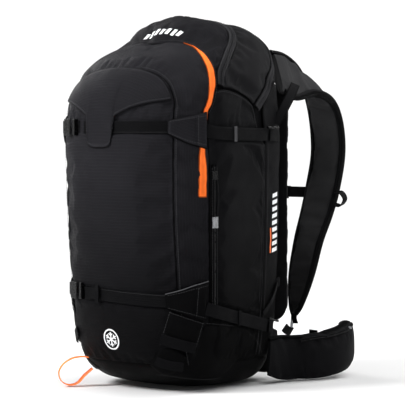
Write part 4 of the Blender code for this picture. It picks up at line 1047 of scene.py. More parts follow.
def flap():
    """Flap of the front pocket with its tab."""
    columns = ((0.1090, 0.4690, 0.4660), (0.1030, 0.4800, 0.4645), (0.0920, 0.4935, 0.4625),
               (0.0780, 0.5035, 0.4600), (0.0620, 0.5095, 0.4555), (0.0480, 0.5130, 0.4500),
               (0.0360, 0.5150, 0.4440), (0.0285, 0.5160, 0.4370), (0.0245, 0.5165, 0.4020),
               (0.0170, 0.5170, 0.3930), (0.0, 0.5175, 0.3915))
    shape = smooth_path(over_the_middle(columns), even(150))
    rows = even(56)[:, None]
    heights = shape[:, 1] + (shape[:, 2] - shape[:, 1]) * rows
    grid = np.array([[front(x, z) for x, z in zip(shape[:, 0], row)] for row in heights])
    surface = skin(grid)
    _, v, near = border_distance(surface)
    from_edge = v[-1:] - v
    rise = 0.0056 + 0.0004 * waves(surface, 0.05, 41, stretch=(0.6, 0.6, 1.5)) * step(near / 0.01)
    rise = rise + 0.0010 * step(near / 0.03) * step((surface[..., 2] - 0.44) / 0.02)
    rise = rise - 0.0016 * np.exp(-(v / 0.004) ** 2) - 0.0005 * np.exp(-((from_edge - 0.005) / 0.0010) ** 2)
    rise = rise + 0.0004 * np.exp(-((from_edge - 0.0025) / 0.0018) ** 2)
    made = slab("pocket_flap_cloth", surface + grid_normals(surface) * rise[..., None], "front", 0.0016, body="flap",
                slot="front_fabric", stands_for="pocket_flap")
    hem = [tuple(p) for p in (surface + grid_normals(surface) * (rise + 0.0001)[..., None])[-1]]
    inset = []
    for k in range(2, len(hem) - 2):
        column = surface[:, k] + grid_normals(surface)[:, k] * (rise[:, k] + 0.0001)[:, None]
        reach = arc(column, 0)
        at = max(reach[-1] - 0.0048, reach[-1] * 0.5)
        inset.append([np.interp(at, reach, column[:, i]) for i in range(3)])
    inset = np.array(inset)
    normal = unit(inset - np.array((0, CORE_Y, 0.3)))
    stitches("flap_hem_stitching", [(inset, normal)], form=False, body="flap", slot="front_fabric")
    return made


def topstitching():
    """Stitch rows beside the seams, on both sides of the pack."""
    right = [offset_line(line(front_seam() + arch()[:-1], 0.006), 0.0045),
             offset_line(line(lid_seam(), 0.006), 0.0042),
             [side(STITCH_Y - 0.0040, z) for z in np.linspace(0.052, 0.392, 20)],
             [side(STITCH_Y - 0.0095, z) for z in np.linspace(0.14, 0.385, 16)],
             [side(STITCH_Y + 0.0045, z) for z in np.linspace(0.052, 0.392, 20)],
             offset_line(line(side_top(), 0.006), 0.0045)]
    rows = [[tuple(p) for p in row] for row in right]
    stitches("seam_stitching", rows + mirrored_rows(rows), out=0.0016, slot="front_fabric")


# ---------------------------------------------------------------- trim

def orange_facing():
    outer = [(0.0560, -0.0270, 0.5600), (0.0800, -0.0292, 0.5538), (0.1060, -0.0362, 0.5420),
             (0.1190, -0.0400, 0.5322), (0.1300, -0.0428, 0.5200), (0.1370, -0.0465, 0.5060),
             side(-0.0500, 0.4930), side(-0.0545, 0.4830), side(-0.0640, 0.4611), side(-0.0725, 0.4460),
             side(-0.0770, 0.4100), side(-0.0780, 0.3850), side(-0.0755, 0.3600), side(-0.0750, 0.3136)]
    inner = [(0.0580, -0.0290, 0.5592), (0.0830, -0.0335, 0.5508), (0.1030, -0.0440, 0.5400),
             (0.1170, -0.0505, 0.5280), (0.1270, -0.0550, 0.5160), (0.1345, -0.0600, 0.5020),
             side(-0.0640, 0.4870), side(-0.0680, 0.4730), side(-0.0745, 0.4590), side(-0.0805, 0.4460),
             side(-0.0860, 0.4100), side(-0.0885, 0.3850), side(-0.0890, 0.3600), side(-0.0890, 0.3136)]
    grid = coons(outer, inner, [outer[0], inner[0]], [outer[-1], inner[-1]], 170, 12, 0.0001)
    surface = skin(grid)
    _, v, near = border_distance(surface)
    rise = 0.0030 + 0.0004 * waves(surface, 0.016, 51) - 0.0010 * np.exp(-(near / 0.0014) ** 2)
    slab("orange_facing_tape", surface + grid_normals(surface) * rise[..., None], "orange", 0.0012,
         slot="orange_trim", stands_for="orange_trim")


def side_zip():
    """The covered side zip with a lip on each side, and its coil."""
    path = line([side(y, z) for y, z in SIDE_ZIP], 0.003)
    rows = []
    for shift in np.linspace(-0.0060, 0.0060, 21):
        rows.append(path + np.array((0.0, shift, 0.0)))
    surface = skin(np.array(rows))
    across = np.abs(np.linspace(-1, 1, 21))[:, None]
    rise = 0.0022 + 0.0011 * np.exp(-((across - 0.50) / 0.20) ** 2) - 0.0024 * step((across - 0.78) / 0.22)
    rise = rise - 0.0012 * np.exp(-(across / 0.13) ** 2) + 0.0002 * waves(surface, 0.02, 61)
    slab("side_zip_lips", surface + grid_normals(surface) * rise[..., None], "side", 0.0012, slot="zip_tape",
         stands_for="side_zip_tape")
    left = surface * np.array((-1.0, 1.0, 1.0))
    slab("left_side_seam_tape", left + grid_normals(left) * (rise * 0.6)[..., None], "side", 0.0012, slot="side_fabric")
    centre = [tuple(p) for p in path[::4]]
    stitches("side_zip_coil", [centre], "coil", 0.0020, 0.0042, 0.0007, out=0.0022, across=True, slot="zip_tape")
    rows = [[(p[0], p[1] + shift, p[2]) for p in centre] for shift in (-0.0054, 0.0054)]
    stitches("side_zip_stitching", rows, out=0.0030, slot="zip_tape")


def cloth(name):
    return bpy.data.objects[name]


def marks():
    """Generic printed marks: a snow crystal in a ring, slanted bars on the lid and bars by the back seam."""
    def on_front(a, b):
        return front(a, b)
    cx, cz, radius = 0.0, 0.0845, 0.0158
    quads = []
    for k in range(48):
        a, b = 2 * math.pi * k / 48, 2 * math.pi * (k + 1) / 48
        quads.append([(cx + r * math.cos(t), cz + r * 1.06 * math.sin(t))
                      for r, t in ((radius - 0.0022, a), (radius, a), (radius, b), (radius - 0.0022, b))])

    def stroke(x0, z0, x1, z1, width):
        along = unit(np.array((x1 - x0, z1 - z0)))
        n = np.array((-along[1], along[0])) * width / 2
        a, b = np.array((cx + x0, cz + z0)), np.array((cx + x1, cz + z1))
        return [tuple(a - n), tuple(b - n), tuple(b + n), tuple(a + n)]
    for k in range(6):
        t = math.radians(30 + 60 * k)
        c, s = math.cos(t), math.sin(t)
        quads.append(stroke(0.0, 0.0, c * 0.0118, s * 0.0118, 0.0020))
        for spread in (-0.85, 0.85):
            x, z = c * 0.0062, s * 0.0062
            quads.append(stroke(x, z, x + 0.0050 * math.cos(t + spread), z + 0.0050 * math.sin(t + spread), 0.0017))
    decal("snow_crystal_print", quads, on_front, "white", cloth("front_panel_cloth"), slot="silver_metal")

    def on_lid(a, b):
        return crown(a, b)
    quads = []
    for k in range(7):
        x, y = -0.0390 + 0.0124 * k, -0.0290 + 0.0006 * k
        quads.append([(x, y), (x + 0.0070, y), (x + 0.0110, y + 0.0100), (x + 0.0040, y + 0.0100)])
    decal("slanted_bars_print", quads, on_lid, "white", cloth("lid_panel_cloth"), slot="silver_metal")
    bars = []
    for k in range(9):
        z = 0.2190 + 0.0112 * k
        bars.append([(0.0870, z), (0.1030, z + 0.0030), (0.1030, z + 0.0096), (0.0870, z + 0.0066)])

    def on_right(a, b):
        return side(a, b)
    decal("reflective_bars", bars, on_right, "white", cloth("back_shell_cloth"), slot="silver_metal")
    decal("orange_bar", [[(0.0810, 0.2180), (0.0838, 0.2190), (0.0838, 0.2600), (0.0810, 0.2590)]], on_right,
          "orange_print", cloth("back_shell_cloth"), slot="orange_trim")
    decal("left_reflective_bars", bars, lambda a, b: mirror_x([side(a, b)])[0], "white", cloth("back_shell_cloth"),
          slot="silver_metal")


# ---------------------------------------------------------------- straps over the pack

def buckle_frame(height):
    centre = skin(np.array(front(BUCKLE_X, height)), 0.0058)
    ahead = skin(np.array(front(BUCKLE_X + 0.006, height)), 0.0058)
    return frame_at(centre, ahead - centre, skin(centre, 0.02) - skin(centre, 0.0))


def side_release(level, at, body, scale=1.0):
    """Side-release buckle: a hollow socket with windows at its sides and a plug with two sprung arms."""
    def boxes(rows):
        return [(tuple(scale * s for s in row[0]), tuple(scale * s for s in row[1]), *row[2:]) for row in rows]
    socket = [((0.0190, 0.0270, 0.0018), (-0.0140, 0, 0.0040)), ((0.0190, 0.0270, 0.0018), (-0.0140, 0, -0.0036)),
              ((0.0050, 0.0280, 0.0088), (-0.0030, 0, 0)), ((0.0040, 0.0280, 0.0070), (-0.0232, 0, 0)),
              ((0.0120, 0.0030, 0.0080), (-0.0200, 0.0122, 0)), ((0.0120, 0.0030, 0.0080), (-0.0200, -0.0122, 0)),
              ((0.0120, 0.0060, 0.0012), (-0.0120, 0, 0.0050))]
    blocks(f"{level}_buckle_socket_shell", at, boxes(socket), "buckle", 0.0009 * scale, slot="buckle_plastic",
           stands_for=f"{level}_buckle_socket")
    plug = [((0.0060, 0.0265, 0.0078), (0.0060, 0, 0)), ((0.0040, 0.0265, 0.0050), (0.0210, 0, 0)),
            ((0.0170, 0.0034, 0.0060), (0.0135, 0.0115, 0)), ((0.0170, 0.0034, 0.0060), (0.0135, -0.0115, 0)),
            ((0.0160, 0.0028, 0.0034), (-0.0040, 0.0072, 0)), ((0.0160, 0.0028, 0.0034), (-0.0040, -0.0072, 0)),
            ((0.0070, 0.0050, 0.0036), (-0.0130, 0.0108, 0)), ((0.0070, 0.0050, 0.0036), (-0.0130, -0.0108, 0)),
            ((0.0180, 0.0030, 0.0030), (-0.0050, 0, 0)),
            ((0.0016, 0.0200, 0.0016), (0.0050, 0, 0.0038)), ((0.0016, 0.0200, 0.0016), (0.0076, 0, 0.0038))]
    blocks(f"{level}_buckle_plug_arms", at, boxes(plug), "buckle", 0.0009 * scale, body=body,
           slot="buckle_plastic", stands_for=f"{level}_buckle_plug")


def front_straps():
    for level, left_z, right_z, end_x in (("upper", UPPER_STRAP, UPPER_STRAP, 0.1090),
                                          ("lower", LOWER_LEFT, LOWER_RIGHT, 0.1000)):
        xs = np.linspace(BUCKLE_X + 0.0240, end_x, 9)
        points = [front(x, left_z + (right_z - left_z) * (x + 0.054) / (end_x + 0.054)) for x in xs]
        on_form(f"{level}_strap_webbing", points, ripple=0.0002, seed=71, stands_for=f"{level}_front_webbing")
        at = buckle_frame(left_z)
        side_release(level, at, f"{level}_plug")
        tail = [front(x, left_z) for x in (BUCKLE_X - 0.0210, BUCKLE_X - 0.0330, BUCKLE_X - 0.0480)]
        on_form(f"{level}_strap_tail", [tuple(p) for p in tail], out=0.0060)
        edges = []
        for shift in (-0.0079, 0.0079):
            edges.append([(p[0], p[1], p[2] + shift) for p in points[1:]])
        stitches(f"{level}_strap_edge_threads", edges, out=0.0027, pitch=0.0030, length=0.0022, radius=0.00026,
                 slot="webbing")
    keeper = [front(x, 0.158) for x in (-0.0215, -0.0175, -0.0135)]
    on_form("lower_strap_keeper", keeper, half=0.0142, out=0.0062, thickness=0.0022)
    points = [front(x, 0.1575) for x in (-0.0480, -0.0360, -0.0250, -0.0180)]
    on_form("lower_strap_folded_end", points, half=BELT / 2 - 0.0012, out=0.0050, ripple=0.0014, seed=72)


def wing_parts():
    """Cloth wings that the straps are sewn to, with the webbing along the pack's sides."""
    upper = [(front(0.1085, 0.4350), front(0.1085, 0.4140)), (front(0.1249, 0.4404), front(0.1212, 0.4051)),
             (front(0.1360, 0.4450), front(0.1309, 0.3980)), (side(-0.0745, 0.4484), side(-0.0760, 0.3900))]
    lower = [(front(0.0985, 0.1612), front(0.0985, 0.1380)), (front(0.1180, 0.1680), front(0.1130, 0.1310)),
             (front(0.1290, 0.1740), front(0.1224, 0.1257)), (side(-0.0680, 0.1807), side(-0.0700, 0.1153))]
    upper_line = [side(-0.0765, 0.4195), side(-0.060, 0.4160), side(-0.045, 0.4150), side(-0.0174, 0.4138),
                  side(0.020, 0.4132), side(0.0550, 0.4126), side(0.0640, 0.4124)]
    lower_line = [side(-0.0690, 0.1370), side(-0.055, 0.1325), side(-0.040, 0.1280), side(0.0, 0.1180),
                  side(0.037, 0.1090), side(0.0700, 0.1010), side(0.0780, 0.0990)]
    for level, edges, strap in (("upper", upper, upper_line), ("lower", lower, lower_line)):
        top, bottom = [a for a, _ in edges], [b for _, b in edges]
        grid = coons(bottom, top, [bottom[0], top[0]], [bottom[-1], top[-1]], 46, 30, 0.0001)
        surface = skin(grid)
        u, v, near = border_distance(surface)
        share = u / u[:, -1:]
        rise = 0.0050 + 0.0005 * waves(surface, 0.03, 81, stretch=(1.4, 1.4, 0.5)) * step(near / 0.006)
        rise = rise - 0.0009 * np.exp(-((share - 0.70) / 0.020) ** 2) + 0.0007 * np.exp(-((share - 0.76) / 0.030) ** 2)
        rise = rise - 0.0014 * np.exp(-(near / 0.0016) ** 2)
        shaped = surface + grid_normals(surface) * rise[..., None]
        for hand, sign in (("right", 1), ("left", -1)):
            flip = np.array((sign, 1.0, 1.0))
            slab(f"{level}_{hand}_wing_cloth", shaped * flip, "front" if level == "upper" else "side", 0.0016,
                 slot="front_fabric", stands_for=f"{level}_{hand}_wing_strap")
            points = [tuple(np.array(p) * flip) for p in strap]
            on_form(f"{level}_{hand}_side_webbing", points, out=0.0036, ripple=0.0003, seed=82)
            keep = -0.0174 if level == "upper" else 0.0040
            keep_z = 0.4136 if level == "upper" else 0.1170
            ring = [tuple(np.array(side(keep + d, keep_z)) * flip) for d in (-0.0030, 0.0, 0.0030)]
            on_form(f"{level}_{hand}_webbing_keeper", ring, "light_thread" if level == "upper" else "webbing",
                    half=0.0120, out=0.0056, thickness=0.0014, slot="webbing")
            rim = [tuple(p) for p in (shaped * flip)[-1]] if level == "lower" else [tuple(p) for p in (shaped * flip)[0]]
            piping(f"{level}_{hand}_wing_piping", rim, 0.0008, look="light_thread" if level == "lower" else "binding",
                   form=False, slot="webbing")
            normals = grid_normals(shaped) * flip
            rows = [((shaped * flip)[3, 2:], normals[3, 2:]), ((shaped * flip)[-4, 2:], normals[-4, 2:]),
                    ((shaped * flip)[2:-2, 34], normals[2:-2, 34])]
            stitches(f"{level}_{hand}_wing_stitching", rows, form=False, slot="front_fabric")


def ladder_adjusters():
    places = {"upper": (0.0740, 0.4122, 0.4128, 0.0030), "lower": (0.0880, 0.0965, 0.1010, 0.0045)}
    for level, (y, z, near_z, out) in places.items():
        for hand, sign in (("right", 1), ("left", -1)):
            flip = np.array((sign, 1.0, 1.0))
            centre = skin(np.array(side(y, z)), out + 0.0046)
            along = centre - skin(np.array(side(y - 0.02, near_z)), out + 0.0046)
            outward = skin(centre, 0.02) - skin(centre, 0.0)
            at = frame_at(centre * flip, along * flip, outward * flip)
            bars = [((0.0310, 0.0034, 0.0046), (0, 0.0118, 0)), ((0.0310, 0.0034, 0.0046), (0, -0.0118, 0)),
                    ((0.0040, 0.0250, 0.0040), (-0.0135, 0, 0), 0.35), ((0.0050, 0.0250, 0.0036), (0, 0, 0.0002), 0.5),
                    ((0.0040, 0.0250, 0.0040), (0.0135, 0, 0), 0.35), ((0.0060, 0.0270, 0.0030), (0.0165, 0, 0.0018), -0.4)]
            blocks(f"{level}_{hand}_ladder_adjuster", at, bars, "buckle", 0.0009, slot="buckle_plastic",
                   stands_for=f"{level}_{hand}_adjuster")
            start = centre * flip
            end = np.array(side(0.1040, z - 0.002)) * flip
            on_form(f"{level}_{hand}_webbing_root", [tuple(start), tuple((start + end) / 2), tuple(end)],
                    half=0.0096, out=0.0022)


def lower_patches():
    """Ski loops, reinforcing cloth and stabiliser straps low on both sides."""
    for hand, sign in (("right", 1), ("left", -1)):
        flip = np.array((sign, 1.0, 1.0))

        def f(points):
            return [tuple(np.array(p) * flip) for p in points]
        a, b, c, d = (0.103, -0.1145, 0.134), (0.134, -0.072, 0.115), (0.121, -0.079, 0.067), (0.085, -0.117, 0.081)
        patch(f"{hand}_ski_patch", [f(straight(d, c)), f(straight(a, b)), f(straight(d, a)), f(straight(c, b))],
              "patch", out=0.0042, slot="side_fabric")
        e, g = (0.060, -0.114, 0.046), (0.113, -0.086, 0.060)
        h, k = (0.072, -0.094, 0.030), (0.090, -0.088, 0.036)
        bar = f([(0.0850, -0.1165, 0.0905), (0.1030, -0.1000, 0.0830), (0.1235, -0.0790, 0.0745)])
        on_form(f"{hand}_ski_loop", bar, half=0.0085, out=0.0066, up=(0.25 * sign, 0.05, 1.0))
        rows = [f(straight(np.array(a) * 0.96 + np.array(d) * 0.04, np.array(b) * 0.96 + np.array(c) * 0.04)),
                f(straight(a, d)), f(straight(b, c))]
        stitches(f"{hand}_ski_patch_stitching", rows, out=0.0050, slot="side_fabric")
        if sign < 0:
            reinforcement(hand, f)
            continue
        patch(f"{hand}_lower_ski_patch", [f([e, h, k]), f([(0.085, -0.117, 0.078), (0.103, -0.100, 0.071), g]),
                                          f(straight(e, (0.085, -0.117, 0.078))), f(straight(k, g))],
              "patch", out=0.0036, slot="side_fabric", seed=6)
        low = f([(0.0700, -0.1080, 0.0560), (0.0860, -0.0960, 0.0500), (0.1040, -0.0840, 0.0460)])
        on_form(f"{hand}_lower_ski_loop", low, half=0.0075, out=0.0056, up=(0.25 * sign, 0.05, 1.0))
        reinforcement(hand, f)


def reinforcement(hand, f):
    """Diagonal reinforcing cloth and the thin strap above it."""
    top = f([(0.137, -0.068, 0.112), (0.1430, -0.020, 0.106), (0.1435, 0.010, 0.096), (0.1400, 0.045, 0.080)])
    bottom = f([(0.060, -0.098, 0.030), (0.085, -0.084, 0.026), (0.107, -0.050, 0.022), (0.121, -0.012, 0.021)])
    patch(f"{hand}_side_reinforcement", [bottom, top, [bottom[0], f([(0.107, -0.087, 0.062)])[0], top[0]],
                                         [bottom[-1], f([(0.137, 0.018, 0.052)])[0], top[-1]]],
          "patch", out=0.0016, thickness=0.0012, cells=44, seed=7)
    seam = f([(0.136, -0.066, 0.113), (0.144, 0.000, 0.103), (0.1435, 0.050, 0.081), (0.1400, 0.080, 0.052)])
    stitches(f"{hand}_reinforcement_stitching", [seam, bottom], out=0.0020, slot="side_fabric")
    points = f([side(0.110, 0.168), side(0.098, 0.150), side(0.082, 0.132), side(0.0665, 0.1195)])
    on_form(f"{hand}_stabiliser_strap", points, half=0.0045, out=0.0030, up=None, look="webbing")
    loop = f([side(0.112, 0.176), side(0.114, 0.160)])
    on_form(f"{hand}_stabiliser_tab", loop, half=0.0060, out=0.0024, up=(0, 1, 0))


# ---------------------------------------------------------------- harness

SHOULDER_STRAP = ((0.1450, 0.5510, 0.045, 0.120), (0.1780, 0.5460, 0.046, 0.120), (0.2345, 0.5235, 0.048, 0.120),
                  (0.2875, 0.4845, 0.050, 0.120), (0.3185, 0.4375, 0.050, 0.120), (0.3270, 0.3800, 0.050, 0.120),
                  (0.3110, 0.3170, 0.050, 0.120), (0.2905, 0.2730, 0.054, 0.120), (0.2650, 0.2285, 0.060, 0.119),
                  (0.2415, 0.1680, 0.066, 0.117), (0.2215, 0.1230, 0.081, 0.112), (0.2140, 0.1060, 0.091, 0.105))
HIP_FIN = ((0.1310, 0.1610, 0.0330, 0.0120), (0.1460, 0.1850, 0.0380, 0.0155), (0.1590, 0.2200, 0.0400, 0.0170),
           (0.1620, 0.2580, 0.0430, 0.0165), (0.1500, 0.2900, 0.0460, 0.0135), (0.1300, 0.3070, 0.0440, 0.0090))
FIN_FOOT = 0.0015


def soft_tube(name, rings, weave, look, pinned, pressure, cap, fill, shrink=-0.02, **kw):
    """A padded body whose cloth is let swell between its seams."""
    count, sides = rings.shape[:2]
    r, k = np.meshgrid(np.arange(count - 1), np.arange(sides), indexing="ij")
    n = (k + 1) % sides
    quads = np.stack([r * sides + k, (r + 1) * sides + k, (r + 1) * sides + n, r * sides + n], -1).reshape(-1, 4)
    faces = quads.tolist() + [list(range(sides)), [count * sides - 1 - i for i in range(sides)]]
    mesh = bpy.data.meshes.new("cloth_run")
    mesh.from_pydata(rings.reshape(-1, 3).tolist(), [], faces)
    work = bmesh.new()
    work.from_mesh(mesh)
    bmesh.ops.recalc_face_normals(work, faces=work.faces)
    work.to_mesh(mesh)
    work.free()
    held = pinned.copy()
    held[:1], held[-1:] = True, True
    rings = run_cloth(mesh, held.ravel(), pressure, cap, shrink, 16).reshape(rings.shape)
    made = tube(name, rings, look, weave=weave.reshape(-1, 3), **kw)
    return made, rings


def strap_line(sign):
    """Centres, half widths and the direction across a shoulder strap, which leaves the pack on its edge."""
    rows = smooth_path([((a + b) / 2, y, z, (b - a) / 2) for y, z, a, b in SHOULDER_STRAP], even(150))
    lean = np.interp(rows[:, 1] + 0.5 * np.maximum(0.545 - rows[:, 2], 0) * (rows[:, 2] < 0.38),
                     (0.145, 0.175, 0.205, 0.240, 0.275, 0.305, 0.325), (60, 66, 58, 41, 23, 8, 0))
    lean[rows[:, 2] < 0.42] = 0.0
    lean = np.radians(np.convolve(np.pad(lean, 6, mode="edge"), np.ones(13) / 13, mode="valid"))
    t = unit(np.gradient(rows[:, :3], axis=0))
    flat = np.array((1.0, 0.0, 0.0))
    lowered = np.cross(t, flat)
    lowered = np.where(lowered[:, 2:3] > 0, -lowered, lowered)
    across = flat * np.cos(lean)[:, None] + lowered * np.sin(lean)[:, None]
    half = rows[:, 3] - 0.0015 + 0.0075 * np.exp(-((rows[:, 1] - 0.175) / 0.045) ** 2) * (rows[:, 2] > 0.42)
    top_edge = rows[:, :3].copy()
    top_edge[:, 0] += half * (1.5 * np.sin(lean) - 1)
    centres = top_edge + across * half[:, None]
    mirror = np.array((sign, 1.0, 1.0))
    return centres * mirror, half, across * mirror


def shoulder_straps():
    for hand, sign in (("right", 1), ("left", -1)):
        centres, half, across = strap_line(sign)
        depth = np.full(len(centres), 0.0066)
        depth[-24:] = np.linspace(0.0066, 0.0036, 24)

        def crease(turn, share):
            ripple = 0.0016 * np.sin(share * 70 + 2.5 * np.cos(turn)) * np.exp(-((share - 0.20) / 0.12) ** 2)
            ripple = ripple + 0.0010 * np.sin(share * 127 - 4.0 * np.cos(turn)) * np.exp(-((share - 0.23) / 0.11) ** 2)
            edge = np.exp(-((np.abs(np.cos(turn)) - 0.80) / 0.07) ** 2)
            return ripple - 0.0014 * edge + 0.0010 * np.abs(np.sin(turn)) * np.ones_like(share)
        rings, weave = swept(centres, across, half, depth, sides=44, power=3.2, shape=crease)
        turn = (np.arange(44) + 0.5) * 2 * math.pi / 44
        seam = np.abs(np.abs(np.cos(turn)) - 0.80) < 0.05
        pinned = np.broadcast_to(seam, rings.shape[:2])
        _, rings = soft_tube(f"{hand}_shoulder_strap_pad", rings, weave, "strap", pinned, 1.2, 0.004, 0.55,
                             slot="harness_mesh", stands_for=f"{hand}_shoulder_pad")
        for edge, at in (("outer", 1), ("inner", -1)):
            middle = centres + across * at * (half - 0.0030)[:, None]
            bound, weave = swept(middle, across, 0.0042, depth + 0.0006, sides=20, power=2.6)
            tube(f"{hand}_strap_{edge}_binding", bound, "binding", weave=weave.reshape(-1, 3), slot="harness_mesh")
        t = unit(np.gradient(centres, axis=0))
        out = unit(np.cross(t, across))
        out = np.where((out @ np.array((0.25 * sign, 1.0, 0.5)))[:, None] < 0, -out, out)
        track = centres[46:112] + out[46:112] * 0.0092
        ribbon(f"{hand}_strap_centre_webbing", track[::5], across[46:112:5], half=0.0085)
        rows_of = []
        for shift in (-0.0070, 0.0070):
            rows_of.append((track + across[46:112] * shift + out[46:112] * 0.0009, out[46:112]))
        stitches(f"{hand}_strap_webbing_stitching", rows_of, form=False, slot="webbing", pitch=0.005)
        middle = centres[93] + np.array((sign * 0.0340, 0, 0))
        loop = [middle + np.array((0, -0.004, 0.010)), middle + np.array((sign * 0.010, 0.0, 0.011)),
                middle + np.array((sign * 0.0155, 0.004, 0.0)), middle + np.array((sign * 0.010, 0.0, -0.011)),
                middle + np.array((0, -0.004, -0.010))]
        ribbon(f"{hand}_strap_side_loop", [tuple(p) for p in loop], (0, 1, 0.3), half=0.0062, thickness=0.0022,
               pitch=0.002)


def strap_feet():
    """Hooks at the feet of the shoulder straps, their webbing, and the load lifters above."""
    for hand, sign in (("right", 1), ("left", -1)):
        centre = np.array((0.098 * sign, 0.2120, 0.0950))
        at = frame_at(centre, (0, -0.12, -1), (0.55 * sign, 1, -0.12))
        ring = [((0.0360, 0.0042, 0.0042), (0, 0.0066, 0)), ((0.0360, 0.0042, 0.0042), (0, -0.0066, 0)),
                ((0.0044, 0.0174, 0.0042), (0.0160, 0, 0)), ((0.0044, 0.0174, 0.0042), (-0.0160, 0, 0)),
                ((0.0026, 0.0150, 0.0024), (0.0050, 0, 0.0004), 0.2)]
        blocks(f"{hand}_strap_ladder_ring", at, ring, "silver", 0.0012, slot="silver_metal",
               stands_for=f"{hand}_strap_hook")
        points = [(0.1150 * sign, 0.1640, 0.0880), (0.1080 * sign, 0.1840, 0.0800), (0.1000 * sign, 0.2040, 0.0770)]
        ribbon(f"{hand}_strap_foot_webbing", points, (0.5 * sign, 0.2, 1.0), half=0.0075,
               stands_for=f"{hand}_strap_anchor")
        loop = [(0.0985 * sign, 0.2100, 0.0790), (0.0990 * sign, 0.2165, 0.0830), (0.0985 * sign, 0.2165, 0.0900),
                (0.0980 * sign, 0.2130, 0.0990), (0.0980 * sign, 0.2150, 0.1090)]
        ribbon(f"{hand}_strap_tip_loop", loop[2:], (1, 0, 0), half=0.0058, pitch=0.002)
        points = [(0.1490 * sign, 0.0960, 0.4300), (0.1530 * sign, 0.1140, 0.4560), (0.1480 * sign, 0.1400, 0.4800),
                  (0.1370 * sign, 0.1650, 0.4960)]
        ribbon(f"{hand}_load_lifter_webbing", points, (0.75 * sign, 0.35, -0.5), "binding", half=0.0080,
               stands_for=f"{hand}_load_lifter")


